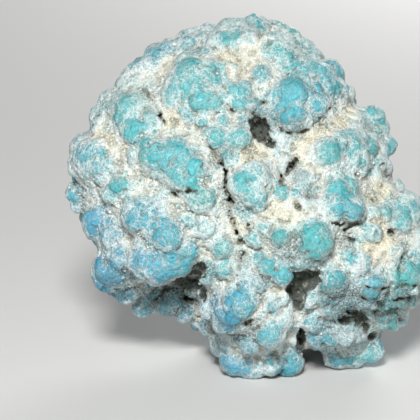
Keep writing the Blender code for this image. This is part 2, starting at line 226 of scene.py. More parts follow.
# %% Broad fillers between the lobes
FILLERS = {
    "rim_low": (109, 127, 18, -4), "rim_left": (120, 109, 18, -3), "rim_bend": (133, 89, 18, -2),
    "rim_upper": (143, 78, 18, -2), "rim_blue": (157, 69, 18, -1), "rim_ridge": (169, 60, 18, 0),
    "rim_crest": (191, 52, 18, 1), "rim_top": (222, 50, 20, 1), "rim_crown": (248, 47, 20, 1),
    "rim_right": (275, 52, 20, 0), "far_left": (96, 160, 23, 0), "upper_left": (196, 90, 28, 1),
    "middle_left": (172, 164, 20, 4), "pair": (158, 262, 20, 3), "corner": (116, 266, 20, 2),
    "flank_upper": (345, 152, 22, 1), "flank_edge": (402, 214, 20, -4), "foot": (232, 310, 16, 5),
}
print(len(FILLERS), "fillers")

# %% [markdown]
# ## The hidden lobes
# Two heels, a keel and some links don't show from the front. The back was never seen, so it gets lobes of
# three sizes from a rule: try a place, and keep it if it is clear of the lobes before it, stays behind
# the front's outline, and is clear of what the stone rests on. The rule and its seed are the CAD's, so
# nearly the same back comes out here, and it is the same each time.

# %% Lobes of the underside and the back
HIDDEN_LOBES = {
    "left_heel": (231, 331, -80, 17), "right_heel": (332, 331, -80, 17), "heel_bridge": (282, 317, -88, 24),
    "left_ankle": (241, 311, -72, 32), "right_ankle": (322, 311, -72, 32), "arch": (282, 324, -40, 28),
    "keel_left": (156, 290, -42, 24), "keel_right": (184, 296, -40, 22), "keel_end": (206, 312, -34, 20),
    "toe_root": (352, 326, -22, 28), "hem_root": (384, 300, -26, 24),
}
CORE_INSET = 0.0021
LOBE_SINK = 0.35
ROOT_REACH = 0.7
DOME_POWER = 2.2
BACK_SEED = 11
BACK_SIZES = [(160, 20, 26), (900, 14, 19), (2500, 9, 13)]
BACK_SPACING = 0.78
BACK_EDGE = 0.10
RIM_ROOM = 9
REST_CLEARANCE = 0.0012

edge_corners = sorted(
    (math.atan2(down - HEART[1], across - HEART[0]), math.hypot(across - HEART[0], down - HEART[1]))
    for across, down in CORE_EDGE
)
edge_corners = [(edge_corners[-1][0] - math.tau, edge_corners[-1][1]), *edge_corners,
                (edge_corners[0][0] + math.tau, edge_corners[0][1])]
EDGE_ANGLES, EDGE_DISTANCES = np.array(edge_corners).T


def core_radius(angle):
    """How far the core's edge is from the heart in a direction on the picture."""
    return np.interp(angle, EDGE_ANGLES, EDGE_DISTANCES)


def dome_height(across, down):
    """How near the front of the core is at a picture point, in pixels."""
    right, below = across - HEART[0], down - HEART[1]
    reach = math.hypot(right, below) / core_radius(math.atan2(below, right))
    if reach >= 1:
        return 0.0
    return STONE_FRONT / PIXEL * (1 - reach**DOME_POWER) ** (1 / DOME_POWER)


def core_point(direction):
    """The core's surface in a direction: right, down and near, as a place on the picture."""
    flat = math.hypot(direction.x, direction.y)
    depth = abs(direction.z)
    size = (flat**DOME_POWER + depth**DOME_POWER) ** (-1 / DOME_POWER)
    angle = math.atan2(direction.y, direction.x)
    across = HEART[0] + core_radius(angle) * direction.x * size
    down = HEART[1] + core_radius(angle) * direction.y * size
    bulge = (STONE_FRONT if direction.z > 0 else STONE_BACK) - CORE_INSET
    return Vector((across, down, bulge / PIXEL * direction.z * size))


def placed_lobes(groups):
    """Every lobe of some groups, as a place on the picture and a radius."""
    lobes = []
    for group in groups:
        for across, down, radius, proud in group.values():
            height = dome_height(across, down)
            sink = LOBE_SINK * radius if height > 0 else 0.0
            lobes.append((Vector((across, down, height - sink + proud)), radius))
    return lobes


def is_hidden(middle, radius):
    """Whether a lobe of the back stays behind the front's outline and clear of what it rests on."""
    right, below = middle.x - HEART[0], middle.y - HEART[1]
    outline = core_radius(math.atan2(below, right)) + RIM_ROOM
    lowest = seen_point(*middle)[2] - radius * PIXEL
    return math.hypot(right, below) + radius < outline and lowest > REST_CLEARANCE


def back_lobes(taken):
    """Lobes of mixed size over the back, the large ones first, each clear of the ones before it."""
    chance = random.Random(BACK_SEED)
    grown = []
    for tries, smallest, largest in BACK_SIZES:
        for _ in range(tries):
            direction = Vector((chance.gauss(0, 1), chance.gauss(0, 1), chance.gauss(0, 1))).normalized()
            radius = chance.uniform(smallest, largest)
            if direction.z > BACK_EDGE:
                continue
            middle = core_point(direction)
            clear = all(
                (middle - other).length > BACK_SPACING * (radius + size) for other, size in taken + grown
            )
            if clear and is_hidden(middle, radius):
                grown.append((middle, radius))
    return grown


shown_lobes = placed_lobes(SHOWN_GROUPS)
under_lobes = [(Vector((across, down, near)), radius) for across, down, near, radius in HIDDEN_LOBES.values()]
behind_lobes = back_lobes(shown_lobes + under_lobes)
fillers = placed_lobes([FILLERS])
print(len(shown_lobes), "lobes in front,", len(under_lobes), "underneath and", len(behind_lobes), "behind")

# %% [markdown]
# ## A stone as a field of distances
# Balls that are pushed into each other give hard creases, and real lobes melt together. So the stone is
# first a block of numbers, one for each point of a fine grid: the distance to the surface, negative
# inside. Two shapes melt when the smaller of their two numbers is taken and rounded off a little where
# the two are nearly the same. A mesh is drawn through the zeros at the end. Boolean modifiers could join
# the balls too, but they don't round the creases, and metaballs would be slow with so many.

# %% Lay out the grid
GRID = 0.0004
GRID_MARGIN = 0.0030
FAR_AWAY = 0.02

grid_start = STONE_LOW - GRID_MARGIN
grid_counts = np.ceil((STONE_HIGH + GRID_MARGIN - grid_start) / GRID).astype(int)
grid_counts += grid_counts % 2
grid_lines = [(grid_start[axis] + GRID * np.arange(grid_counts[axis])).astype(np.float32) for axis in range(3)]
print("grid of", grid_counts, "points,", round(float(grid_counts.prod()) / 1e6, 1), "million")


def grid_cut(lowest, highest):
    """The part of the grid between two corners: its slices, and its three open lines of places."""
    slices, lines = [], []
    for axis in range(3):
        first = max(0, int((lowest[axis] - grid_start[axis]) / GRID))
        last = min(grid_counts[axis], int((highest[axis] - grid_start[axis]) / GRID) + 2)
        slices.append(slice(first, max(first, last)))
        shape = [1, 1, 1]
        shape[axis] = -1
        lines.append(grid_lines[axis][slices[axis]].reshape(shape))
    return tuple(slices), lines


def melt(one, other, soft):
    """The smaller of two distances, rounded off where they are within soft of each other."""
    shared = np.maximum(soft - np.abs(one - other), 0)
    return np.minimum(one, other) - shared * shared / (4 * soft)


def rod_distance(lines, start, end, radius):
    """The distance to a rod with round ends, for an open part of the grid."""
    axis = end - start
    away = [line - start[k] for k, line in enumerate(lines)]
    share = np.clip(sum(part * axis[k] for k, part in enumerate(away)) / (axis @ axis + 1e-12), 0, 1)
    return np.sqrt(sum((part - share * axis[k]) ** 2 for k, part in enumerate(away))) - radius


# %% [markdown]
# ## The core
# The core is a rounded lump inside the lobes. Its edge is the listed outline, and towards
# the front and the back it swells like a pebble.

# %% Fill in the core
def core_field():
    """The distance to the core over the whole grid, good enough near the surface."""
    x, y, z = (line.reshape([-1 if k == axis else 1 for k in range(3)]) for axis, line in enumerate(grid_lines))
    ahead = (y - EYE_TARGET[1]) * TOWARDS[1] + (z - EYE_TARGET[2]) * TOWARDS[2]
    above = (y - EYE_TARGET[1]) * UP[1] + (z - EYE_TARGET[2]) * UP[2]
    shrink = PIXEL * (1 - ahead / EYE_DISTANCE)
    right = (x - EYE_TARGET[0]) / shrink + (EYE_PIXEL[0] - HEART[0])
    below = (EYE_PIXEL[1] - HEART[1]) - above / shrink
    reach = np.sqrt(right * right + below * below)
    flat = reach / core_radius(np.arctan2(below + 0 * right, right)).astype(np.float32)
    bulge = np.where(ahead > 0, STONE_FRONT, STONE_BACK) - CORE_INSET
    size = (flat**DOME_POWER + np.abs(ahead / bulge) ** DOME_POWER) ** (1 / DOME_POWER)
    away = np.sqrt((reach * PIXEL) ** 2 + ahead * ahead)
    return (away * (1 - 1 / np.maximum(size, 0.05))).astype(np.float32)


field = core_field()
print("core:", round(float((field < 0).mean()) * 100, 1), "percent of the grid is stone")

# %% [markdown]
# ## Melting the lobes on
# A lobe is a ball with a root that reaches inwards. Large lobes melt in with a wide fillet and small ones
# with a narrow one, as on the stone, where beads keep a sharp foot.

# %% Melt in every lobe, the large ones first
LOBE_SOFT = 0.38
SOFT_RANGE = (0.00045, 0.0026)

heart_place = Vector((*HEART, 0))


def melt_lobe(middle, radius):
    """Melts one lobe with its root into the field."""
    inwards = (heart_place - middle).normalized()
    start = seen_point(*middle)
    end = seen_point(*(middle + inwards * radius * ROOT_REACH))
    size = radius * PIXEL
    soft = float(np.clip(size * LOBE_SOFT, *SOFT_RANGE))
    reach = size + soft + 2 * GRID
    cut, lines = grid_cut(np.minimum(start, end) - reach, np.maximum(start, end) + reach)
    field[cut] = melt(field[cut], rod_distance(lines, start, end, size), soft)


all_lobes = shown_lobes + under_lobes + behind_lobes + fillers
for middle, radius in sorted(all_lobes, key=lambda lobe: -lobe[1]):
    melt_lobe(middle, radius)
print("stone with lobes:", round(float((field < 0).sum()) * GRID**3 * 1e6, 1), "cubic centimetres")

# %% [markdown]
# ## Reading the field
# Three helpers read the grid at any place: its value, the direction out of the stone, and how near the
# surface is at a picture point. A fourth blurs a grid, which tells later what is a crown and what is a
# valley: in a blurred copy of the stone a crown is thin and a valley is thick.

# %% Helpers that read and blur the grid
def grid_value(grid, points):
    """The grid's value at each point, mixed from the eight grid points round it."""
    place = (points - grid_start) / GRID
    place = np.clip(place, 0, grid_counts - 1.001)
    base = place.astype(int)
    part = place - base
    total = np.zeros(len(points))
    for corner in range(8):
        step = np.array([corner >> 2 & 1, corner >> 1 & 1, corner & 1])
        weight = np.prod(np.where(step, part, 1 - part), axis=1)
        index = base + step
        total += weight * grid[index[:, 0], index[:, 1], index[:, 2]]
    return total


def grid_outwards(grid, points, step=GRID):
    """The direction in which the grid's value rises fastest at each point."""
    slope = np.stack([
        grid_value(grid, points + step * np.eye(3)[axis]) - grid_value(grid, points - step * np.eye(3)[axis])
        for axis in range(3)
    ], axis=1)
    return slope / np.maximum(np.linalg.norm(slope, axis=1, keepdims=True), 1e-9)


LOOK_FROM, LOOK_TO, LOOK_STEP = 150, -110, 0.5
look_nears = np.arange(LOOK_FROM, LOOK_TO, -LOOK_STEP)


def surface_near(across, down):
    """How near the surface is at a picture point, or None beside the stone."""
    inside = grid_value(field, seen_point(across, down, look_nears)) < 0
    return look_nears[inside.argmax()] if inside.any() else None


def blurred(spectrum, width):
    """A soft copy of the grid whose spectrum is given, blurred over a width in metres."""
    result = spectrum
    for axis, count in enumerate(grid_counts):
        turns = np.fft.rfftfreq(count, GRID) if axis == 2 else np.fft.fftfreq(count, GRID)
        fade = np.exp(-2 * (math.pi * width * turns) ** 2)
        result = result * fade.reshape([-1 if k == axis else 1 for k in range(3)])
    return np.fft.irfftn(result, s=tuple(grid_counts), axes=(0, 1, 2)).astype(np.float32)


print("in the middle of the picture the surface is", surface_near(*EYE_PIXEL), "pixels in front")

# %% [markdown]
# ## Worn spots
# The rind is worn off where the stone stands out, and there the blue-green shows. Each spot is listed
# with how far right and down it is, its radius, how bare it is, and its tint, from -1 for green through 0
# for teal to 1 for blue. The spots shape the stone as well as its colours, so they come first.

# %% Worn spots in front
WORN_TOP = [
    (153, 51, 8, .85, .5), (136, 60, 8, .6, .4), (170, 46, 8, .6, .5), (188, 41, 8, .6, .4),
    (205, 33, 8, .65, .3), (229, 38, 9, 1, 0), (257, 28, 8, .95, .05), (252, 19, 8, .5, .3),
    (272, 24, 6, .4, -.3), (291, 27, 8, .7, -.4), (272, 50, 9, .8, 0), (286, 57, 9, .8, -.05),
    (304, 49, 10, .75, .05), (205, 52, 5, .5, .1),
]
WORN_UPPER_LEFT = [
    (188, 62, 10, 1, 0), (213, 72, 10, .95, 0), (185, 83, 14, 1, 0), (173, 93, 8, .9, .1),
    (199, 101, 11, 1, 0), (216, 102, 8, 1, -.05), (183, 113, 6, .6, .1), (193, 90, 10, .9, 0),
    (202, 123, 5, .6, .15), (190, 119, 4, .5, .15), (121, 104, 11, .9, 0), (116, 119, 8, 1, .05),
    (137, 133, 13, .95, .1), (133, 97, 8, .4, -.3), (147, 88, 8, .35, -.5), (127, 113, 8, .6, .1),
    (150, 120, 10, .45, .05), (85, 153, 8, .55, .4), (102, 154, 5, .7, .2), (92, 166, 10, .4, .4),
    (77, 191, 9, .65, .5), (113, 189, 8, .72, 0), (125, 185, 7, .7, 0), (80, 205, 6, .4, .5),
    (104, 172, 9, .25, .3),
]
# The lobes low on the left get a strong blue tint, partly their real tint and partly painted shade, as deep
# blue is darker than teal
WORN_LOWER_LEFT = [
    (157, 155, 11, .95, .15), (161, 164, 9, .95, .15), (141, 155, 6, .8, -.6), (172, 148, 8, .6, .1),
    (185, 158, 12, .9, .1), (199, 165, 7, .8, .1), (179, 178, 9, .85, 0), (193, 182, 8, .8, -.1),
    (209, 175, 3, .9, .2), (202, 199, 12, .45, -.3), (163, 191, 7, .4, -.1), (155, 145, 7, .5, .1),
    (98, 220, 13, 1, .85), (113, 233, 9, .7, .7), (141, 211, 14, .62, .5), (133, 225, 8, .7, .5),
    (167, 231, 14, .76, .4), (155, 222, 10, .6, .5), (143, 256, 13, 1, .85), (155, 262, 10, .9, .7),
    (179, 261, 14, 1, .35), (161, 278, 10, .9, .65), (190, 252, 8, .6, .4), (117, 256, 9, .6, .8),
    (109, 276, 15, 1, .85), (119, 294, 12, .9, .85), (100, 266, 8, .7, .8), (130, 285, 8, .3, .5),
    (149, 294, 8, .5, .5), (143, 308, 9, .55, .6), (173, 302, 9, .55, .7), (162, 304, 8, .5, .6),
    (185, 316, 8, .45, .8), (195, 290, 8, .55, .4), (97, 268, 9, .9, .85), (100, 286, 10, .9, .85),
    (112, 299, 9, .9, .9), (122, 305, 8, .8, .9), (89, 214, 8, .8, .8), (91, 230, 8, .6, .8),
    (75, 150, 7, .4, .5),
]
WORN_UPPER_RIGHT = [
    (232, 91, 6, 1, .05), (245, 88, 6, .5, .15), (240, 103, 7, .6, 0), (260, 73, 7, .65, .1),
    (217, 138, 9, .9, 0), (237, 139, 8, .7, 0), (251, 101, 5, .3, .3), (271, 97, 6, .3, .2),
    (229, 160, 7, .25, .1), (275, 115, 6, .3, .2), (224, 121, 5, .6, .1), (241, 119, 4, .5, .1),
    (298, 76, 14, .85, .05), (290, 94, 13, .95, .3), (302, 88, 10, .9, .45), (290, 109, 12, .95, .35),
    (322, 66, 12, .8, .3), (334, 70, 10, .85, .35), (336, 91, 10, .95, .3), (316, 105, 9, .85, .4),
    (316, 88, 9, .75, .5), (280, 90, 8, .5, .2), (348, 92, 8, .3, .1), (374, 117, 12, .55, .05),
    (380, 128, 8, .6, .05), (328, 154, 10, .65, -.05), (342, 145, 8, .7, .05), (354, 133, 9, .65, .1),
    (370, 145, 9, .65, 0), (358, 165, 11, .45, 0), (372, 163, 9, .65, 0), (393, 141, 6, .6, .1),
    (341, 187, 11, .85, -.05), (348, 186, 10, .78, 0), (350, 210, 10, .95, .35), (338, 205, 10, .5, .4),
    (335, 150, 9, .45, 0), (356, 150, 8, .4, .1),
]
WORN_CENTRE = [
    (243, 182, 9, 1, 0), (252, 194, 7, .75, .1), (258, 200, 7, .6, .15), (256, 178, 7, .3, .1),
    (282, 193, 6, .85, 0), (297, 193, 4, .8, .1), (245, 214, 6, .75, .1), (316, 240, 17, 1, -.15),
    (312, 231, 12, 1, -.1), (280, 238, 8, .8, -.2), (266, 228, 7, .4, -.1), (222, 247, 9, .7, -.05),
    (209, 274, 9, .7, 0), (223, 268, 8, .65, -.15), (259, 258, 5, .85, .15), (267, 266, 7, .8, 0),
    (284, 273, 10, .8, .15), (249, 312, 6, .8, .1), (310, 265, 8, .5, .3), (322, 264, 8, .5, .2),
    (193, 222, 6, .5, .1), (256, 240, 5, .3, 0), (306, 205, 6, .2, .1), (300, 180, 8, .2, .1),
    (262, 285, 8, .3, .5),
]
WORN_LOWER_RIGHT = [
    (395, 202, 8, .7, .1), (402, 218, 10, .75, .05), (418, 210, 10, .55, .15), (388, 212, 6, .4, -.2),
    (357, 243, 6, .9, .1), (350, 256, 7, .9, .15), (332, 281, 11, .6, .1), (348, 280, 8, .4, .3),
    (369, 286, 12, .85, .45), (412, 268, 15, .95, -.25), (405, 281, 10, .9, -.3),
    (392, 300, 12, .55, -.05), (408, 300, 8, .6, -.2), (345, 303, 10, .4, .5), (393, 320, 10, .6, -.3),
    (372, 298, 8, .5, .3), (427, 255, 9, .4, .1), (371, 232, 8, .3, 0), (372, 214, 6, .15, 0),
    (215, 305, 11, .85, .8), (227, 322, 13, 1, .85), (239, 300, 14, .85, .55), (221, 344, 7, .3, .9),
    (248, 346, 8, .75, .6), (270, 334, 9, 1, .3), (262, 342, 8, .5, .4), (290, 353, 7, .8, .4),
    (272, 360, 5, .5, .4), (225, 362, 9, .85, .8), (236, 370, 11, .78, .7), (257, 377, 6, .5, .6),
    (288, 369, 10, .9, .5), (300, 352, 6, .3, .3), (276, 306, 8, .4, .2), (290, 330, 6, .3, .3),
    (322, 334, 11, .8, .55), (312, 322, 7, .5, .4), (338, 354, 9, .6, .6), (350, 358, 9, .6, .3),
    (364, 355, 10, .7, -.3), (330, 345, 7, .4, .4),
]
worn_rows = WORN_TOP + WORN_UPPER_LEFT + WORN_LOWER_LEFT + WORN_UPPER_RIGHT + WORN_CENTRE + WORN_LOWER_RIGHT
print(len(worn_rows), "worn spots in front")

# %% [markdown]
# ## The bed between the lobes
# The lobes don't meet in clean creases. A rough cream bed fills the space between them to some height.
# A blurred copy of the solid block gives it: where a lot of stone is near, just outside the surface, the
# bed is laid. The bed is melted in like one more lobe, so the crowns stay as they are. A wide blur fills
# the broad valleys and a narrow one the creases. Low on the stone the wide bed is thinner, and the
# valleys there are deep.

# %% Blur the block, and lay the bed
BEDS = [
    # blur in metres, and the share of stone at which the bed ends, high and low on the stone
    (0.0026, 0.530, 0.580),
    (0.0013, 0.535, 0.545),
]
BED_SOFT = 0.0004
BED_HEIGHTS = (0.042, 0.014)


def solid_share():
    """How much of each small block of the grid is stone, as the spectrum that blurred() takes."""
    return np.fft.rfftn(np.clip(0.5 - field / (2 * GRID), 0, 1))


bare_field = field.copy()
lowness = np.clip((BED_HEIGHTS[0] - grid_lines[2]) / (BED_HEIGHTS[0] - BED_HEIGHTS[1]), 0, 1).reshape(1, 1, -1)
for blur, level_high, level_low in BEDS:
    level = level_high + (level_low - level_high) * lowness
    bed = (level - blurred(solid_share(), blur)) * blur * math.sqrt(math.tau)
    field = melt(field, bed.astype(np.float32), BED_SOFT)
print("bed laid:", round(float(((field < 0) & (bare_field > 0)).sum()) * GRID**3 * 1e9), "cubic millimetres")

# %% [markdown]
# ## Second growth
# Seen closely, each lobe is itself a cluster of shallower swellings, and the rind is worn off where they
# stand out. So every worn spot in front gets its own low swelling, of the spot's size. The rest of the
# surface gets swellings from a rule: random places, each clear of the ones before. A swelling is a ball
# whose middle is sunk so far that only a low dome shows.

# %% Grow the second lobes
SPOT_SWELL = 1.06
SPOT_RISE = 0.09
SPOT_SOFT = 0.00060
SWELLINGS = [
    # how many tries, smallest and largest radius, how far each stands out, the spacing, all in metres
    (4000, 0.0017, 0.0026, 0.00034, 0.0026),
    (12000, 0.0008, 0.0012, 0.00018, 0.0015),
]
SWELLING_SOFT = 0.00022
swelling_chance = np.random.default_rng(5)


def add_ball(middle, size, soft):
    """Melts one ball into the field."""
    reach = size + soft + 2 * GRID
    cut, lines = grid_cut(middle - reach, middle + reach)
    field[cut] = melt(field[cut], rod_distance(lines, middle, middle, size), soft)


def spaced_places(tries, spacing):
    """Random places on the surface with the direction out of it, none closer than the spacing."""
    close = np.argwhere(np.abs(field) < GRID / 2)
    picks = close[swelling_chance.permutation(len(close))[:tries]]
    places = grid_start + picks * GRID
    out = grid_outwards(field, places)
    kept = []
    taken = {}
    for place, normal in zip(places, out):
        cell = tuple((place / spacing).astype(int))
        around = [taken.get((cell[0] + i, cell[1] + j, cell[2] + k), ())
                  for i in (-1, 0, 1) for j in (-1, 0, 1) for k in (-1, 0, 1)]
        if any(np.sum((place - other) ** 2) < spacing**2 for group in around for other in group):
            continue
        taken.setdefault(cell, []).append(place)
        kept.append((place, normal))
    return kept


for across, down, radius, *_ in worn_rows:
    near = surface_near(across, down)
    if near is None:
        continue
    place = seen_point(across, down, near)
    normal = grid_outwards(field, place[None], 3 * GRID)[0]
    size = radius * PIXEL * SPOT_SWELL
    add_ball(place - normal * size * (1 - SPOT_RISE), size, SPOT_SOFT)
print(len(worn_rows), "swellings under worn spots")
for tries, smallest, largest, stands_out, spacing in SWELLINGS:
    grown = spaced_places(tries, spacing)
    for place, normal in grown:
        size = swelling_chance.uniform(smallest, largest)
        rise = stands_out * swelling_chance.uniform(0.4, 1.2)
        add_ball(place - normal * (size - rise), size, SWELLING_SOFT)
    print(len(grown), "swellings of", smallest * 1000, "to", largest * 1000, "mm")

# %% [markdown]
# ## Hollows
# Between the lobes the bed has opened. The large holes and the shadowed gaps are stretched balls that are
# taken away from the field, each named by where it shows. Two waves make their rims ragged, as broken
# crust is, because a plain ball leaves a hole that looks drilled. The beads that hang in the shade of the
# left overhang are melted on again after that, so they stay round.

# %% Carve the hollows
# Each hollow: right, down, depth under the skin there, and half widths right, down and inwards
HOLLOWS = {
    "upper_hole": (260, 129, 4, 10, 13, 26), "upper_side": (254, 122, 0, 5, 7, 18),
    "upper_tail": (270, 143, 0, 5, 6, 18), "lower_hole": (305, 279, 3, 17, 11, 22),
    "lower_left": (297, 288, 3, 11, 12, 22), "lower_tail": (299, 303, 1, 6, 10, 18),
    "right_pit": (345, 320, 1, 8, 5, 16), "right_deep": (361, 319, 2, 8, 8, 16),
    "right_gash": (353, 312, 2, 9, 3, 14), "right_notch": (366, 327, 2, 4, 7, 12),
    "right_low": (372, 336, 3, 7, 5, 15), "foot_gap": (301, 339, 6, 5, 17, 34),
    "foot_gap_low": (311, 354, 6, 12, 6, 28), "lip_shadow": (393, 232, 3, 8, 4, 10),
    "cave_right": (200, 270, 6, 8, 9, 22), "cave": (187, 283, 3, 17, 9, 24),
    "cave_left": (164, 290, 4, 13, 4, 22), "cave_mid": (195, 276, 5, 8, 7, 26),
    "cave_low": (203, 295, 6, 5, 11, 20), "cave_back": (189, 296, 3, 10, 8, 22),
    "cave_tip": (153, 296, 6, 10, 4, 16), "ledge_shade": (350, 224, 3, 15, 3, 10),
    "foot_line": (230, 337, -2, 18, 3, 14),
}
# The waves on a hollow's rim: how deep, as a share of its size, and radians a metre across and up
WIDE_WAVE = (0.16, 2100, 2500)
FINE_WAVE = (0.07, 5200, 4300)
HOLLOW_SOFT = 0.0006
HOLLOW_SOFT_SHARE = 0.4


def carve_ball(middle, half):
    """Takes a ragged, stretched ball out of the field: half widths right, up and towards the eye."""
    cut, lines = grid_cut(middle - half.max() - 3 * GRID, middle + half.max() + 3 * GRID)
    away = [line - middle[k] for k, line in enumerate(lines)]
    turned = [sum(part * axis[k] for k, part in enumerate(away)) for axis in (RIGHT, UP, TOWARDS)]
    reach = np.sqrt(sum((part / half[k]) ** 2 for k, part in enumerate(turned)))
    wide, across, up = WIDE_WAVE
    reach = reach + wide * np.sin(turned[0] * across + 1) * np.sin(turned[1] * up)
    fine, across, up = FINE_WAVE
    reach = reach + fine * np.sin(turned[0] * across + turned[1] * up)
    soft = min(HOLLOW_SOFT, half.min() * HOLLOW_SOFT_SHARE)
    field[cut] = -melt(-field[cut], (reach - 1) * half.min(), soft)


mouths = {name: surface_near(*row[:2]) or 0 for name, row in HOLLOWS.items()}
for name, (across, down, depth, *half) in HOLLOWS.items():
    carve_ball(seen_point(across, down, mouths[name] - depth), np.array(half) * PIXEL)
for middle, radius in placed_lobes([SHADED_BEADS]):
    melt_lobe(middle, radius)
print(len(HOLLOWS), "hollows")

# %% [markdown]
# ## Ledges
# Low on the right the crust grew in ledges, one under another, like shelf fungus on a trunk. Each is a
# chain of small lobes that stand out a little from the skin and wander off their line. All of them are
# measured from the skin before the first is melted on, so that a chain doesn't climb onto itself.

# %% Melt on the ledges
# Each ledge: the radius of its lobes, and its corners as right and down
LEDGES = {
    "second": (5.5, (362, 292), (380, 297), (398, 293), (418, 291)),
    "third": (5.5, (354, 302), (372, 307), (394, 304), (416, 300)),
    "fourth": (5.0, (366, 317), (386, 315), (412, 309)),
    "fifth": (4.5, (380, 324), (394, 326), (405, 319)),
}
LEDGE_OUT = 3.2
LEDGE_SIZES = (0.7, 1.25)
LEDGE_WANDER = 1.6
ledge_chance = random.Random(31)


def ledge_places(radius, corners):
    """Lobes along a ledge's line, a radius apart, each as a place on the picture and a radius."""
    places = []
    near = 0
    for first, last in zip(corners, corners[1:]):
        steps = max(1, round(math.dist(first, last) / radius))
        for step in range(steps):
            across, down = (a + (b - a) * step / steps for a, b in zip(first, last))
            near = surface_near(across, down) or near
            size = radius * ledge_chance.uniform(*LEDGE_SIZES)
            down += ledge_chance.uniform(-LEDGE_WANDER, LEDGE_WANDER)
            places.append((Vector((across, down, near + LEDGE_OUT - size)), size))
    return places


ledge_lobes = [lobe for radius, *corners in LEDGES.values() for lobe in ledge_places(radius, corners)]
for middle, radius in ledge_lobes:
    melt_lobe(middle, radius)
print(len(ledge_lobes), "lobes in", len(LEDGES), "ledges")

# %% [markdown]
# ## Cracks and pits
# A crack is a line on the picture: at short steps along it a thin rod is driven into the stone from the
# surface. The rods' width and place wander as they go, so together they make a ragged slot that closes
# here and there. A pit is a small group of rods. The rods are kept, because the finish darkens their walls.

# %% Carve the cracks and pits
# Each crack: its depth in pixels, and its corners as right, down and width
CRACKS = {
    "long_upper": (8, [(211, 147, 2), (218, 158, 4), (225, 168, 5), (228, 178, 4), (226, 187, 4.5),
                       (229, 196, 6)]),
    "long_middle": (8, [(229, 196, 7), (231, 206, 7), (230, 213, 5), (233, 222, 4), (238, 234, 4)]),
    "long_lower": (9, [(240, 240, 7), (243, 250, 5), (240, 262, 5), (238, 272, 6), (236, 278, 3)]),
    "side": (5, [(247, 223, 3), (250, 233, 4), (248, 244, 2)]),
    "underlip": (5, [(168, 188, 2), (180, 192, 4), (196, 191, 2)]),
    "ledge": (6, [(329, 221, 2), (340, 230, 4), (350, 227, 3), (362, 219, 2)]),
    "groove_left": (6, [(278, 169, 4), (280, 176, 8), (283, 186, 4)]),
    "groove_right": (6, [(286, 174, 5), (291, 165, 9), (298, 156, 4)]),
    "under_blue": (6, [(282, 130, 3), (291, 133, 5), (300, 132, 5), (309, 129, 2)]),
    "shoulder": (4, [(156, 107, 2), (160, 115, 4), (165, 125, 2)]),
    "green_band": (3, [(139, 86, 1), (147, 92, 3), (150, 99, 2)]),
    "shelf_upper": (6, [(365, 286, 1.5), (377, 290, 4), (389, 287, 2)]),
    "shelf_far": (6, [(397, 287, 1.5), (409, 285, 4), (420, 286, 3)]),
    "shelf_middle": (7, [(362, 297, 2), (374, 302, 5), (387, 300, 2)]),
    "shelf_end": (6, [(393, 300, 2), (404, 298, 4), (416, 296, 2)]),
    "shelf_lower": (7, [(372, 311, 2), (386, 311, 5), (399, 308, 2)]),
}
# Each pit: right, down, radius and depth
PITS = {
    "long_pit": (230, 203, 5, 9), "long_hole": (241, 242, 4, 9), "left_hole": (174, 193, 3.6, 7),
    "centre_pit": (267, 206, 3, 6), "centre_right": (299, 208, 3, 6), "brown": (309, 195, 3.5, 5),
    "top_brown": (231, 110, 4, 5), "top_dark": (263, 102, 3, 7), "right_high": (384, 164, 2, 4),
    "right_mid": (355, 175, 2, 3), "right_cream": (373, 200, 2.4, 5), "bead_hole": (351, 240, 4, 7),
    "slate_top": (355, 311, 4, 8), "foot_hole": (249, 323, 5, 8), "rim_speck": (218, 49, 1.2, 2),
    "blue_speck": (317, 78, 1.2, 2), "pink_hole": (362, 216, 2.6, 4), "cream_hole": (377, 232, 2.2, 4),
}
CRACK_STEP = 0.6
# Sideways the crack keeps this share of its drift and takes a new push; its opening starts here and changes
DRIFT_KEPT = 0.85
DRIFT_PUSH = 0.7
FIRST_OPENING = 0.6
OPENING_CHANGE = (-0.25, 0.27)
LEAST_OPENING = 0.15
ROD_LEAN = 0.8
ROD_SOFT = 0.8
PIT_RODS = 7
crack_chance = random.Random(9)
dark_rods = []


def drive_in(across, down, width, depth):
    """Takes a thin rod out of the stone where a picture point shows, and remembers it for the dirt."""
    near = surface_near(across, down)
    if near is None:
        return
    lean = [crack_chance.uniform(-ROD_LEAN, ROD_LEAN) for _ in range(2)]
    start = seen_point(across, down, near + 1)
    end = seen_point(across + lean[0], down + lean[1], near - depth)
    reach = (width / 2 + 3) * PIXEL
    cut, lines = grid_cut(np.minimum(start, end) - reach, np.maximum(start, end) + reach)
    rod = rod_distance(lines, start, end, width / 2 * PIXEL)
    field[cut] = -melt(-field[cut], rod, ROD_SOFT * PIXEL)
    dark_rods.append((start, end, width / 2 * PIXEL))


for depth, corners in CRACKS.values():
    aside, opening = 0.0, FIRST_OPENING
    for first, last in zip(corners, corners[1:]):
        steps = max(1, round(math.dist(first[:2], last[:2]) / CRACK_STEP))
        for step in range(steps):
            aside = DRIFT_KEPT * aside + crack_chance.uniform(-DRIFT_PUSH, DRIFT_PUSH)
            opening = min(1.0, max(0.0, opening + crack_chance.uniform(*OPENING_CHANGE)))
            across, down, width = (a + (b - a) * step / steps for a, b in zip(first, last))
            if opening > LEAST_OPENING:
                drive_in(across + aside, down, width * opening, depth * (0.4 + 0.6 * opening))
for across, down, radius, depth in PITS.values():
    for _ in range(PIT_RODS):
        turn, away = crack_chance.uniform(0, math.tau), radius * crack_chance.uniform(0.1, 0.8)
        drive_in(across + away * math.cos(turn), down + away * math.sin(turn),
                 radius * crack_chance.uniform(0.5, 1.0), depth * crack_chance.uniform(0.4, 1.0))
print(len(dark_rods), "rods for cracks and pits")

# %% [markdown]
# ## Crowns, valleys and a rough skin
# The blurred copy also tells how exposed each place is. On a flat face half of the space round a point is
# stone, on a crown it is less, and in a valley more. Two widths of blur tell a bead from a lobe. The skin
# gets lumps from noise that is cut down to two sizes, hardly any on the crowns and a lot in the valleys.

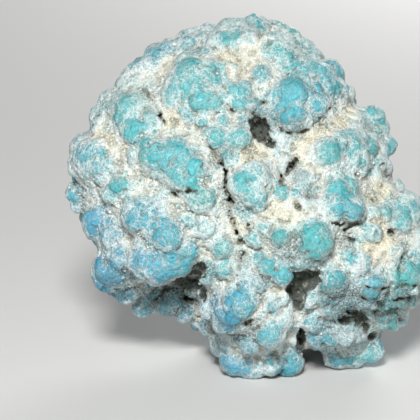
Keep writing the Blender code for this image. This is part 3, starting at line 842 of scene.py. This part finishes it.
# %% Roughen the skin
FINE_BLUR = 0.0008
WIDE_BLUR = 0.0023
BROAD_BLUR = 0.0042
LUMPS = [
    # narrow and wide blur, height on the crowns and in the valleys, all in metres
    (0.00034, 0.00058, 0.000020, 0.000130),
    (0.00060, 0.00110, 0.000024, 0.000200),
]

solid_spectrum = solid_share()
thick_fine = blurred(solid_spectrum, FINE_BLUR)
thick_wide = blurred(solid_spectrum, WIDE_BLUR)
thick_broad = blurred(solid_spectrum, BROAD_BLUR)
valley_share = np.clip((thick_wide + thick_fine - 0.86) / 0.20, 0, 1)
noise_spectrum = np.fft.rfftn(np.random.default_rng(3).standard_normal(grid_counts).astype(np.float32))
for narrow, wide, on_crowns, in_valleys in LUMPS:
    lumps = blurred(noise_spectrum, narrow) - blurred(noise_spectrum, wide)
    field += lumps / lumps.std() * (on_crowns + (in_valleys - on_crowns) * valley_share)
print("skin lumps up to", round(LUMPS[-1][-1] * 1000, 2), "mm high in the valleys")

# %% [markdown]
# ## From numbers to a mesh
# The stone stands on its lowest lobes, which are rubbed flat, so the field is cut off at the floor. The
# volume library that Blender brings draws a closed skin through the zeros, with its faces outwards. That
# skin has far more faces than the eye can use, so a Decimate modifier thins it where it is nearly flat.
# Crumbs that came loose and pockets that are closed in are parts of their own, and only the largest part
# is kept.

# %% Draw the skin through the zeros
NODULE_TRIANGLES = 190_000

field = np.maximum(field, -grid_lines[2].reshape(1, 1, -1))
volume = openvdb.FloatGrid(FAR_AWAY)
volume.copyFromArray(np.ascontiguousarray(field))
corners, _, faces = volume.convertToPolygons(isovalue=0.0, adaptivity=0.0)
corners = grid_start + corners.astype(float) * GRID


def largest_part(count, faces):
    """Which corners belong to the largest connected part of a mesh."""
    label = np.arange(count)
    while True:
        lower = label.copy()
        np.minimum.at(lower, faces.ravel(), np.repeat(label[faces].min(axis=1), faces.shape[1]))
        lower = lower[lower]
        if (lower == label).all():
            return label == np.bincount(label).argmax()
        label = lower


kept = largest_part(len(corners), faces)
faces = (np.cumsum(kept) - 1)[faces[kept[faces[:, 0]]]]
corners = corners[kept]
nodule_mesh = bpy.data.meshes.new("nodule")
nodule_mesh.from_pydata(corners.tolist(), [], faces.tolist())
nodule_mesh.update()
nodule = bpy.data.objects.new("nodule", nodule_mesh)
bpy.context.scene.collection.objects.link(nodule)
thin = nodule.modifiers.new("thin", "DECIMATE")
thin.ratio = min(1.0, NODULE_TRIANGLES / (2 * len(faces)))


def settle(item):
    """Turns what an object's modifiers show into its plain mesh, and takes the modifiers off."""
    shown = item.evaluated_get(bpy.context.evaluated_depsgraph_get())
    mesh = bpy.data.meshes.new_from_object(shown)
    item.modifiers.clear()
    item.data = mesh
    return mesh


nodule_mesh = settle(nodule)
nodule_mesh.shade_smooth()
vertex_places = np.empty(3 * len(nodule_mesh.vertices), np.float32)
nodule_mesh.vertices.foreach_get("co", vertex_places)
vertex_places = vertex_places.reshape(-1, 3).astype(float)
nodule_mesh.calc_loop_triangles()
print("nodule:", 2 * len(faces), "triangles thinned to", len(nodule_mesh.loop_triangles))

# %% [markdown]
# ## What each place of the skin is like
# The finish is steered by a few numbers that are stored on the skin: how far the rind is worn off, how
# blue the stone is there, how cream the rind is, how much grime mixed with painted shade it holds, whether
# it is in a crack, how much painted shade it gets inside a hollow, and how exposed it is. A spot acts on
# the skin round the point where it shows, so it doesn't print through to the back. The picture places of
# cream rind and of grime with painted shade come first.

# %% Cream rind, and grime mixed with painted shade: right, down, radius and strength
CREAM_RIND = [
    (252, 48, 14, .6), (228, 58, 12, .7), (205, 62, 10, .5), (168, 66, 10, .5), (240, 70, 10, .6),
    (262, 40, 8, .6), (365, 102, 8, .9), (352, 112, 9, 1), (340, 122, 9, 1), (326, 130, 8, .9),
    (312, 138, 8, .9), (300, 146, 8, .7), (372, 200, 8, 1), (384, 190, 10, 1), (378, 220, 10, .9),
    (388, 240, 12, 1), (370, 250, 12, .9), (395, 255, 10, .8), (100, 135, 8, .6), (110, 143, 8, .6),
    (125, 150, 8, .5), (160, 115, 10, .5), (173, 120, 10, .6), (255, 150, 14, .7), (248, 160, 10, .6),
    (290, 212, 16, .6), (270, 212, 10, .4), (150, 245, 12, .3), (190, 200, 12, .4), (240, 225, 10, .4),
    (285, 290, 9, .7), (300, 160, 8, .6), (310, 170, 8, .5),
]
# Grime mixed with painted shade: most of these places lie under overhangs, on faces turned down and in the
# lower right, and darken the colour as shade would
GRIME_AND_SHADE = [
    (125, 275, 14, .6), (140, 290, 10, .5), (293, 168, 10, .5), (300, 175, 8, .5), (255, 110, 10, .5),
    (272, 120, 12, .5), (296, 128, 12, .6), (318, 118, 10, .5), (225, 150, 8, .5), (285, 250, 14, .5),
    (300, 258, 12, .5), (345, 240, 10, .5), (340, 295, 16, 1), (352, 310, 14, 1), (330, 300, 10, .6),
    (380, 300, 14, .8), (262, 280, 10, .4), (242, 262, 8, .4), (215, 160, 8, .5), (225, 190, 8, .6),
    (232, 205, 8, .5), (362, 215, 8, .4), (373, 195, 8, .3), (309, 195, 8, .5), (185, 300, 20, .5),
    (170, 295, 20, .4), (362, 300, 14, .9), (385, 312, 12, .8), (400, 298, 12, .7), (325, 290, 10, .5),
    (340, 308, 12, .6), (216, 340, 12, .5), (258, 326, 8, .4), (145, 303, 14, .8), (172, 304, 18, .8),
    (240, 345, 20, .35), (330, 345, 18, .4), (355, 345, 12, .45), (119, 294, 12, .9), (109, 282, 9, .5),
    (226, 327, 12, .5), (210, 274, 9, .6), (257, 30, 9, .4), (395, 306, 16, .8), (390, 322, 12, .6),
]
print(len(CREAM_RIND), "cream and", len(GRIME_AND_SHADE), "grimy places")

# %% [markdown]
# The back gets its worn spots from its own lobes, one on each tip, of mixed strength. Low down they are
# bluer, which is darker, partly as a real tint and partly as painted shade, and higher up more teal, as in
# front.

# %% Spread the spots over the skin
# Where a spot starts and where it is at its full strength, in radii from its middle
WORN_EDGE = (1.8, 0.7)
CREAM_EDGE = (1.8, 0.4)
GRIME_AND_SHADE_EDGE = (1.6, 0.5)
BLUE_REACH = 1.6
CRACK_EDGE = 1.6
HOLLOW_EDGE = (1.25, 1.02)
HOLLOW_FRONT = (-1, 9)


def place_spots(rows):
    """Puts each spot on the surface where it shows. Gives places and radii in metres, and the rest."""
    kept = [(seen_point(row[0], row[1], surface_near(row[0], row[1])), *row[2:]) for row in rows
            if surface_near(row[0], row[1]) is not None]
    places = np.array([row[0] for row in kept])
    rest = np.array([row[1:] for row in kept])
    return places, rest[:, 0] * PIXEL, rest[:, 1:]


def eased(value, low, high):
    """A smooth step from 0 at low to 1 at high."""
    share = np.clip((value - low) / (high - low), 0, 1)
    return share * share * (3 - 2 * share)


def spread(points, places, radii, strengths, edge):
    """How strongly spots act together on each point, from 0 to 1."""
    left = np.ones(len(points))
    for place, radius, strength in zip(places, radii, strengths):
        away = np.linalg.norm(points - place, axis=1) / radius
        left *= 1 - np.clip(strength, 0, 1) * eased(away, *edge)
    return 1 - left


worn_places, worn_radii, worn_rest = place_spots(worn_rows)
back_chance = random.Random(23)
back_rows = []
for middle, radius in behind_lobes + under_lobes:
    tip = middle + (middle - heart_place).normalized() * radius
    height = seen_point(*tip)[2] / STONE_HIGH[2]
    back_rows.append((seen_point(*tip), radius * 0.75 * PIXEL, back_chance.uniform(0.35, 1.0),
                      0.75 - 0.85 * height + back_chance.uniform(-0.3, 0.3)))
all_places = np.vstack([worn_places, np.array([row[0] for row in back_rows])])
all_radii = np.append(worn_radii, [row[1] for row in back_rows])
all_strengths = np.append(worn_rest[:, 0], [row[2] for row in back_rows])
all_blueness = np.append(worn_rest[:, 1], [row[3] for row in back_rows])

worn = spread(vertex_places, all_places, all_radii, all_strengths, WORN_EDGE)
blue_sum, weight_sum = np.zeros(len(worn)), np.full(len(worn), 1e-9)
for place, radius, blueness in zip(all_places, all_radii, all_blueness):
    weight = np.exp(-((np.linalg.norm(vertex_places - place, axis=1) / (BLUE_REACH * radius)) ** 2)) + 1e-6
    blue_sum += weight * blueness
    weight_sum += weight
blue = blue_sum / weight_sum
cream_places, cream_radii, cream_rest = place_spots(CREAM_RIND)
cream = spread(vertex_places, cream_places, cream_radii, cream_rest[:, 0], CREAM_EDGE)
# Grime mixed with painted shade: these places darken the colour where the stone lies in shade
grime_and_shade_places, grime_and_shade_radii, grime_and_shade_rest = place_spots(GRIME_AND_SHADE)
grime = spread(vertex_places, grime_and_shade_places, grime_and_shade_radii, grime_and_shade_rest[:, 0], GRIME_AND_SHADE_EDGE)
crack = np.zeros(len(vertex_places))
for start, end, radius in dark_rods:
    axis = end - start
    share = np.clip((vertex_places - start) @ axis / (axis @ axis), 0, 1)[:, None]
    away = np.linalg.norm(vertex_places - start - share * axis, axis=1)
    crack = np.maximum(crack, eased(away, radius + CRACK_EDGE * PIXEL, radius * 0.8))
# Painted shade inside the hollows: full behind a hollow's mouth and inside its ball, fading at its rim
hollow = np.zeros(len(vertex_places))
vertex_near = picture_place(vertex_places)[2]
for name, (across, down, depth, *half) in HOLLOWS.items():
    away = (vertex_places - seen_point(across, down, mouths[name] - depth)) @ np.stack([RIGHT, UP, TOWARDS]).T
    reach = np.linalg.norm(away / (np.array(half) * PIXEL), axis=1)
    inside = eased(mouths[name] - vertex_near, *HOLLOW_FRONT)
    hollow = np.maximum(hollow, eased(reach, *HOLLOW_EDGE) * inside)
crown = 0.5 - grid_value(thick_wide, vertex_places)
lobe = 0.5 - grid_value(thick_broad, vertex_places)
bead = 0.5 - grid_value(thick_fine, vertex_places)
skin = {"worn": worn, "blue": blue, "cream": cream, "grime": grime, "crack": crack, "crown": crown,
        "bead": bead, "lobe": lobe, "hollow": hollow}
for name, values in skin.items():
    nodule_mesh.attributes.new(name, "FLOAT", "POINT").data.foreach_set("value", values.astype(np.float32))
    print(name, np.round(np.percentile(values, (5, 50, 95)), 2))

# %% [markdown]
# ## Writing node trees as sums
# A node tree is easier to read as an expression than as a list of links. The class below wraps one socket.
# Adding, subtracting and multiplying wrapped sockets adds Math nodes, also where a plain number stands
# first, and one method makes any other node. It serves the material and the Geometry Nodes alike.

# %% A socket that takes part in sums
class Wire:
    """One socket of a node tree. Sums on it add Math nodes, and node() adds any other node."""

    def __init__(self, tree, socket=None):
        self.tree = tree
        self.socket = socket

    def node(self, kind, settings=None, sockets=None, out=0):
        """Adds a node: its settings first, then its sockets by name or number. Gives one of its outputs."""
        made = self.tree.nodes.new(kind)
        for name, value in (settings or {}).items():
            setattr(made, name, value)
        for name, value in (sockets or {}).items():
            if isinstance(value, Wire):
                self.tree.links.new(value.socket, made.inputs[name])
            else:
                made.inputs[name].default_value = value
        return Wire(self.tree, made.outputs[out] if made.outputs else None)

    def math(self, operation, *values):
        """A Math node on these values."""
        return self.node("ShaderNodeMath", {"operation": operation}, dict(enumerate(values)))

    def step(self, low, high):
        """A smooth step from 0 at low to 1 at high."""
        return self.node("ShaderNodeMapRange", {"interpolation_type": "SMOOTHSTEP"}, {0: self, 1: low, 2: high})

    def clamped(self):
        """The value, held between 0 and 1."""
        return self.node("ShaderNodeClamp", None, {0: self})

    def colours(self, first, last):
        """A colour between two, by this value."""
        return self.node("ShaderNodeMix", {"data_type": "RGBA"}, {0: self, 6: first, 7: last}, 2)

    def __add__(self, other):
        return self.math("ADD", self, other)

    def __sub__(self, other):
        return self.math("SUBTRACT", self, other)

    def __rsub__(self, other):
        return self.math("SUBTRACT", other, self)

    def __mul__(self, other):
        return self.math("MULTIPLY", self, other)

    __radd__ = __add__
    __rmul__ = __mul__


print("sums on sockets are ready")

# %% [markdown]
# ## The finish
# One material serves the whole stone, because it is one mineral with one rind. The rind is a lace of
# cells of three sizes, one inside the other. Over a worn crown nearly every cell is open, and only thin
# white lines are left. Towards the valleys fewer cells are open and the lines widen, until the rind is
# closed. It is matt, rough and white to cream, and the bare stone is waxy. A half open cell shows as pale
# froth. Grime mixed with painted shade, painted shade in the creases, brown dirt in the cracks and painted
# shade inside the hollows make it darker. All patterns are solid textures on Object coordinates, so they
# run through beads and grains without seams.
#
# A painted map could do the same, but the stone has no seam to unwrap along, and a map would have to be
# very large to hold lines of a quarter of a millimetre.

# %% Colours of the stone and the rind
TEAL_DEEP = (0.040, 0.330, 0.350, 1)
TEAL_LIGHT = (0.155, 0.540, 0.550, 1)
# Deep blue is darker than deep teal, so the blue lobes low on the stone are partly their real tint and partly
# painted shade
BLUE_DEEP = (0.030, 0.210, 0.360, 1)
BLUE_LIGHT = (0.130, 0.430, 0.590, 1)
GREEN_DEEP = (0.040, 0.270, 0.220, 1)
GREEN_LIGHT = (0.180, 0.500, 0.420, 1)
RIND_WHITE = (0.850, 0.890, 0.860, 1)
RIND_CREAM = (0.890, 0.830, 0.640, 1)
# Grey for the rind's own specks and for the painted shade in the creases
SPECK_AND_SHADE_GREY = (0.150, 0.175, 0.150, 1)
LACE_SHADE = (0.380, 0.450, 0.415, 1)
# Painted shade for the insides of the hollows
HOLLOW_SHADE = (0.060, 0.078, 0.056, 1)
# Slate for grime mixed with painted shade, under overhangs and on faces turned down
GRIME_AND_SHADE_SLATE = (0.075, 0.150, 0.165, 1)
CRACK_BROWN = (0.170, 0.165, 0.115, 1)
# How fine the patterns are: cells or waves a metre
LARGE_CELLS = 380
NET_CELLS = 900
FINE_CELLS = 2200
MOTTLE_WAVES = 150
BEND_WAVES = 600
DUST_WAVES = 1100
GRAIN_WAVES = 2300
BEND_REACH = 0.0016
# How strong the grime with its painted shade, the painted crease and hollow shade and the crack dirt are, and
# how rough and high the rind is
GRIME_AND_SHADE_STRENGTH = 0.56
CREASE_SHADE_STRENGTH = 0.75
CRACK_STRENGTH = 0.6
HOLLOW_SHADE_STRENGTH = 0.92
RIND_ROUGH = 0.86
WAXY_GLOSS = 0.36
RELIEF_HEIGHT = 0.00036


def turquoise_finish():
    """The stone's material, steered by the numbers that are stored on the skin."""
    material = bpy.data.materials.new("turquoise")
    material.use_nodes = True
    tree = material.node_tree
    tree.nodes.clear()
    start = Wire(tree)

    def stored(name):
        return start.node("ShaderNodeAttribute", {"attribute_name": name}, None, 2)

    place = start.node("ShaderNodeTexCoord", None, None, 3)

    def noise(waves, detail):
        """Soft noise from 0 to 1 with so many waves a metre."""
        return start.node("ShaderNodeTexNoise", None, {"Vector": place, "Scale": waves, "Detail": detail})

    bend = start.node("ShaderNodeTexNoise", None,
                      {"Vector": place, "Scale": BEND_WAVES, "Detail": 4, "Roughness": 0.7}, 1)
    bend = start.node("ShaderNodeVectorMath", {"operation": "MULTIPLY_ADD"},
                      {0: bend, 1: (BEND_REACH,) * 3, 2: place})
    mottle, grain, dust = noise(MOTTLE_WAVES, 3), noise(GRAIN_WAVES, 2), noise(DUST_WAVES, 3)
    worn, blue, cream, grime, crack, crown, bead, lobe, hollow = (
        stored(name) for name in ("worn", "blue", "cream", "grime", "crack", "crown", "bead", "lobe", "hollow"))

    def lace(cells):
        """How far inside its cell a place is, and the cell's own chance from 0 to 1."""
        texture = {"Vector": bend, "Scale": cells}
        edge = start.node("ShaderNodeTexVoronoi", {"feature": "DISTANCE_TO_EDGE"}, texture)
        tint = start.node("ShaderNodeTexVoronoi", {"feature": "F1"}, texture, 1)
        return edge, start.node("ShaderNodeSeparateColor", None, {0: tint})

    large_edge, large_chance = lace(LARGE_CELLS)
    net_edge, net_chance = lace(NET_CELLS)
    fine_edge = lace(FINE_CELLS)[0]

    # How bare each place is: by its worn spot, by how it stands out, and by chance from cell to cell
    shape = (crown * 1.2 + lobe * 1.0 + bead * 0.8).step(-0.45, 0.50)
    bare = worn * 0.80 + shape * 0.42 + (mottle - 0.5) * 0.40 + 0.06 - cream * 0.25
    above_bed = bare.step(0.14, 0.32)
    ragged = (dust - 0.5) * 0.5
    large = (large_edge - (1.0 - bare) * 0.08 - 0.01 - ragged * 0.20).step(-0.01, 0.05)
    bare = bare + (large_chance - 0.5) * 0.55
    net = (net_edge - (1.0 - bare) * 0.14 - 0.02 - ragged * 0.4).step(-0.02, 0.07)
    bare = bare + (net_chance - 0.5) * 0.35
    fine = (fine_edge - (0.90 - bare) * 0.30 - ragged * 0.8).step(-0.02, 0.12)
    flecks = 1 - (grain + (1 - bare) * 0.10).step(0.60, 0.68) * 0.8
    open_share = large * net * fine * above_bed * flecks

    # The stone under the rind: deeper in tint where it is bare, and teal, blue or green by its place
    depth = (mottle * 0.8 + bare * 0.55 + (grain - 0.5) * 0.6 + net_edge * 0.4 - 0.50).clamped()
    teal = depth.colours(TEAL_LIGHT, TEAL_DEEP)
    azure = depth.colours(BLUE_LIGHT, BLUE_DEEP)
    green = depth.colours(GREEN_LIGHT, GREEN_DEEP)
    stone = blue.clamped().colours(teal, azure)
    stone = (0 - blue).clamped().colours(stone, green)

    # The rind: white on the crowns and cream in the valleys, with froth in its cells and grey specks
    warm = (cream * 0.75 + (mottle - 0.5) * 0.8 - shape * 0.5 + (1 - above_bed) * 0.45).clamped()
    rind = warm.colours(RIND_WHITE, RIND_CREAM)
    blush = (bare * 0.7 + (dust - 0.5) * 0.9).clamped() * above_bed
    rind = (blush * 0.6).colours(rind, stone)
    lace_inside = (fine_edge - 0.07 - ragged * 0.3).step(0.0, 0.14)
    net_inside = (net_edge - 0.04 - ragged * 0.5).step(0.0, 0.16)
    froth_floor = (mottle * 0.5 + 0.25).colours(stone, LACE_SHADE)
    rind = (lace_inside * (1 - above_bed) * 0.35).colours(rind, LACE_SHADE)
    froth = (net_inside * 0.50 + lace_inside * 0.35) * above_bed * (0.45 + large_chance * 0.75)
    rind = froth.clamped().colours(rind, froth_floor)
    # The grey specks are the rind's own, but they gather where the grime and painted shade lie, so there they
    # are partly painted shade
    specks = (grain.step(0.50, 0.60) * (grime * 1.3 - shape * 0.6 + 0.30).clamped()).clamped()
    rind = specks.colours(rind, SPECK_AND_SHADE_GREY)

    # The rind lies over the stone. Over both come grime mixed with painted shade, painted shade in the creases,
    # brown dirt in the cracks and painted shade inside the hollows
    colour = open_share.colours(rind, stone)
    # Grime mixed with painted shade: slate over the grimy places, most of which lie under overhangs, on faces
    # turned down and in the lower right
    colour = (grime * GRIME_AND_SHADE_STRENGTH).colours(colour, GRIME_AND_SHADE_SLATE)
    # Painted shade: tight creases are darkened grey, patchily, as shade would darken them
    crease_shade = (0 - bead - 0.07).step(0.0, 0.10) * (mottle * 1.6 - 0.2).clamped()
    colour = (crease_shade * CREASE_SHADE_STRENGTH).colours(colour, SPECK_AND_SHADE_GREY)
    colour = (crack * CRACK_STRENGTH).colours(colour, CRACK_BROWN)
    # Painted shade: the insides of the hollows are darkened, more the deeper they lie
    colour = (hollow * HOLLOW_SHADE_STRENGTH).colours(colour, HOLLOW_SHADE)

    # The cells stand up a little, and the closed rind is grainy
    rough = RIND_ROUGH - open_share * WAXY_GLOSS
    relief = large_edge.step(0.0, 0.30) * 0.6 + net_edge.step(0.0, 0.40) * 0.4 + (1 - open_share) * grain * 1.2
    relief = relief + dust * 0.5 + grain * 0.2 - lace_inside * (1 - open_share) * 0.7
    bump = start.node("ShaderNodeBump", None, {"Height": relief, "Distance": RELIEF_HEIGHT, "Strength": 0.9})
    shader = start.node("ShaderNodeBsdfPrincipled", None, {
        "Base Color": colour, "Roughness": rough, "Coat Weight": open_share * 0.15,
        "Coat Roughness": 0.25, "IOR": 1.5, "Normal": bump,
    })
    start.node("ShaderNodeOutputMaterial", None, {"Surface": shader})
    return material


turquoise = turquoise_finish()
nodule_mesh.materials.clear()
nodule_mesh.materials.append(turquoise)
print("turquoise finish:", len(turquoise.node_tree.nodes), "nodes")

# %% [markdown]
# ## Beads, crumbs and grains
# The bed between the lobes is crusted with beads, crumbs and grains that are too many to place one by
# one. They follow the surface, so Geometry Nodes set them: points are spread over the skin, none closer
# than a spacing, and only where a stored number says valley. A small ball sits on each point, a little
# sunk, stretched and turned at random. It takes over the numbers of the skin under it, so the one
# material finishes it too.

# %% A Geometry Nodes tree that sets balls on the skin
FULL_TURN = 6.28
SCATTER_INPUTS = {
    "Spacing": ("NodeSocketFloat", 0.001), "Smallest": ("NodeSocketFloat", 0.0004),
    "Largest": ("NodeSocketFloat", 0.0008), "Sunk": ("NodeSocketFloat", 0.3),
    "Stretch": ("NodeSocketFloat", 0.2), "Crown Below": ("NodeSocketFloat", 0.05),
    "Least Worn": ("NodeSocketFloat", 0.0), "Most Worn": ("NodeSocketFloat", 1.0),
    "Seed": ("NodeSocketInt", 1),
}


def scatter_tree(name, ball_kind, ball_sockets):
    """A tree that sets one ball on each of many points of a skin, and stores how worn its tip is."""
    tree = bpy.data.node_groups.new(name, "GeometryNodeTree")
    tree.interface.new_socket("Geometry", in_out="INPUT", socket_type="NodeSocketGeometry")
    for label, (kind, value) in SCATTER_INPUTS.items():
        tree.interface.new_socket(label, in_out="INPUT", socket_type=kind).default_value = value
    tree.interface.new_socket("Geometry", in_out="OUTPUT", socket_type="NodeSocketGeometry")
    inputs = tree.nodes.new("NodeGroupInput")
    given = {socket.name: Wire(tree, socket) for socket in inputs.outputs}
    start = Wire(tree)

    def read(label):
        return start.node("GeometryNodeInputNamedAttribute", {"data_type": "FLOAT"}, {"Name": label})

    def store(geometry, label, value):
        return start.node("GeometryNodeStoreNamedAttribute", {"data_type": "FLOAT", "domain": "POINT"},
                          {"Geometry": geometry, "Name": label, "Value": value})

    def chance(least, most, seed):
        return start.node("FunctionNodeRandomValue", {"data_type": "FLOAT"},
                          {2: least, 3: most, 8: given["Seed"] + seed}, 1)

    def chances(least, most, seed):
        return start.node("FunctionNodeRandomValue", {"data_type": "FLOAT_VECTOR"},
                          {0: least, 1: most, 8: given["Seed"] + seed})

    room = (given["Crown Below"] + read("grime") * 0.25 - read("crown")).step(0.0, 0.10) * (1 - read("crack"))
    spread_points = start.node("GeometryNodeDistributePointsOnFaces", {"distribute_method": "POISSON"}, {
        "Mesh": given["Geometry"], "Distance Min": given["Spacing"], "Density Max": 1.0e7,
        "Density Factor": room, "Seed": given["Seed"],
    })
    normal = Wire(tree, spread_points.socket.node.outputs["Normal"])
    size = chance(given["Smallest"], given["Largest"], 11)
    inwards = start.node("ShaderNodeVectorMath", {"operation": "SCALE"},
                         {"Vector": normal, "Scale": size * given["Sunk"] * -1})
    points = start.node("GeometryNodeSetPosition", None, {"Geometry": spread_points, "Offset": inwards})
    points = store(points, "tip_worn", chance(given["Least Worn"], given["Most Worn"], 23))
    for axis, label in enumerate(("out_x", "out_y", "out_z")):
        part = start.node("ShaderNodeSeparateXYZ", None, {0: normal}, axis)
        points = store(points, label, part)
    ball = start.node(ball_kind, None, ball_sockets)
    least = start.node("ShaderNodeCombineXYZ", None, {k: 1 - given["Stretch"] for k in range(3)})
    most = start.node("ShaderNodeCombineXYZ", None, {k: 1 + given["Stretch"] for k in range(3)})
    scale = start.node("ShaderNodeVectorMath", {"operation": "SCALE"},
                       {"Vector": chances(least, most, 31), "Scale": size})
    balls = start.node("GeometryNodeInstanceOnPoints", None, {
        "Points": points, "Instance": ball, "Scale": scale,
        "Rotation": chances((0, 0, 0), (FULL_TURN, FULL_TURN, FULL_TURN), 37)})
    balls = start.node("GeometryNodeRealizeInstances", None, {"Geometry": balls})
    out = start.node("ShaderNodeCombineXYZ", None, {0: read("out_x"), 1: read("out_y"), 2: read("out_z")})
    facing = start.node("ShaderNodeVectorMath", {"operation": "DOT_PRODUCT"},
                        {0: out, 1: start.node("GeometryNodeInputNormal")}, 1)
    tip = facing.step(0.25, 0.85)
    balls = store(balls, "worn", read("tip_worn") * tip)
    balls = store(balls, "bead", tip * 0.22 - 0.05)
    balls = start.node("GeometryNodeSetShadeSmooth", None, {"Geometry": balls})
    balls = start.node("GeometryNodeSetMaterial", None, {"Geometry": balls, "Material": turquoise})
    start.node("NodeGroupOutput", None, {0: balls})
    return tree


def grow(name, tree, **values):
    """Runs a scatter tree on the nodule's skin with these inputs, and keeps what it makes as a mesh."""
    item = bpy.data.objects.new(name, nodule_mesh.copy())
    bpy.context.scene.collection.objects.link(item)
    grown = item.modifiers.new("grow", "NODES")
    grown.node_group = tree
    codes = {socket.name: socket.identifier for socket in tree.interface.items_tree}
    for label, value in values.items():
        grown[codes[label.replace("_", " ")]] = value
    settle(item)
    item.data.calc_loop_triangles()
    print(name, len(item.data.loop_triangles), "triangles")
    return item


bead_tree = scatter_tree("bead tree", "GeometryNodeMeshUVSphere", {"Segments": 8, "Rings": 5, "Radius": 1.0})
crumb_tree = scatter_tree("crumb tree", "GeometryNodeMeshIcoSphere", {"Subdivisions": 1, "Radius": 1.0})
beads = grow("beads", bead_tree, Spacing=0.0028, Smallest=0.0004, Largest=0.0008, Sunk=0.10, Stretch=0.2,
             Crown_Below=-0.05, Least_Worn=0.6, Most_Worn=1.2, Seed=4)
crumbs = grow("crumbs", crumb_tree, Spacing=0.00075, Smallest=0.00020, Largest=0.00042, Sunk=0.20, Stretch=0.5,
              Crown_Below=0.01, Least_Worn=0.0, Most_Worn=0.5, Seed=7)
grains = grow("grains", crumb_tree, Spacing=0.00075, Smallest=0.00012, Largest=0.00024, Sunk=0.10, Stretch=0.5,
              Crown_Below=0.00, Least_Worn=0.0, Most_Worn=0.3, Seed=12)

# %% [markdown]
# ## The studio
# The stone stands on a plain pale floor. The main lamp hangs in front of it and above, because the
# photograph's shadows fall down into the hollows. It is fairly small, so that each lobe stands out. A weak
# lamp low in front fills in under the overhangs, one behind lights the back, and the world adds a little.
# The camera stands where the photograph was taken from: a little above, and straight in front.

# %% Floor, lamps and camera
FLOOR_HALF = 2.0
FLOOR_COLOUR = (0.64, 0.635, 0.62, 1)
WORLD_COLOUR = (0.80, 0.84, 0.90, 1)
WORLD_STRENGTH = 0.06
SENSOR = 36

floor_mesh = bpy.data.meshes.new("floor")
floor_mesh.from_pydata([(-FLOOR_HALF, -FLOOR_HALF, 0), (FLOOR_HALF, -FLOOR_HALF, 0),
                        (FLOOR_HALF, FLOOR_HALF, 0), (-FLOOR_HALF, FLOOR_HALF, 0)], [], [(0, 1, 2, 3)])
floor = bpy.data.objects.new("floor", floor_mesh)
bpy.context.scene.collection.objects.link(floor)
floor_paint = bpy.data.materials.new("floor")
floor_paint.use_nodes = True
floor_paint.node_tree.nodes["Principled BSDF"].inputs["Base Color"].default_value = FLOOR_COLOUR
floor_paint.node_tree.nodes["Principled BSDF"].inputs["Roughness"].default_value = 0.9
floor_mesh.materials.append(floor_paint)

world = bpy.data.worlds.new("studio")
world.use_nodes = True
world.node_tree.nodes["Background"].inputs[0].default_value = WORLD_COLOUR
world.node_tree.nodes["Background"].inputs[1].default_value = WORLD_STRENGTH
bpy.context.scene.world = world
bpy.context.scene.view_settings.view_transform = "Standard"


def add_lamp(name, place, aim, size, power):
    """A soft square lamp at a place, turned towards an aim."""
    data = bpy.data.lights.new(name, "AREA")
    data.size = size
    data.energy = power
    lamp = bpy.data.objects.new(name, data)
    lamp.location = place
    lamp.rotation_euler = (Vector(aim) - Vector(place)).to_track_quat("-Z", "Y").to_euler()
    bpy.context.scene.collection.objects.link(lamp)


STONE_MIDDLE = (0, 0, 0.045)
# Each lamp: its place and size in metres, and its power in watts
LAMPS = {
    "key": ((-0.05, -0.65, 0.49), 0.16, 8.5),
    "fill": ((-0.08, -0.68, 0.10), 0.20, 0.9),
    "back": ((0.30, 0.75, 0.30), 0.40, 5.0),
}
for name, (lamp_place, size, power) in LAMPS.items():
    add_lamp(name, lamp_place, STONE_MIDDLE, size, power)
print(len(LAMPS), "lamps")

camera_data = bpy.data.cameras.new("camera")
camera_data.sensor_width = SENSOR
camera_data.lens = SENSOR / 2 / (EYE_PIXEL[0] * PIXEL / EYE_DISTANCE)
camera = bpy.data.objects.new("camera", camera_data)
camera.location = EYE_TARGET + TOWARDS * EYE_DISTANCE
camera.rotation_euler = Vector(-TOWARDS).to_track_quat("-Z", "Y").to_euler()
bpy.context.scene.collection.objects.link(camera)
bpy.context.scene.camera = camera
print("camera lens", round(camera_data.lens, 1), "mm")

# %% [markdown]
# ## Onto the body
# Every piece rides on the one body and stands for the CAD stone, which is hidden.
# The floor is staging.

for piece in (nodule, beads, crumbs, grains):
    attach(piece, "root")
    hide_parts(NODE)
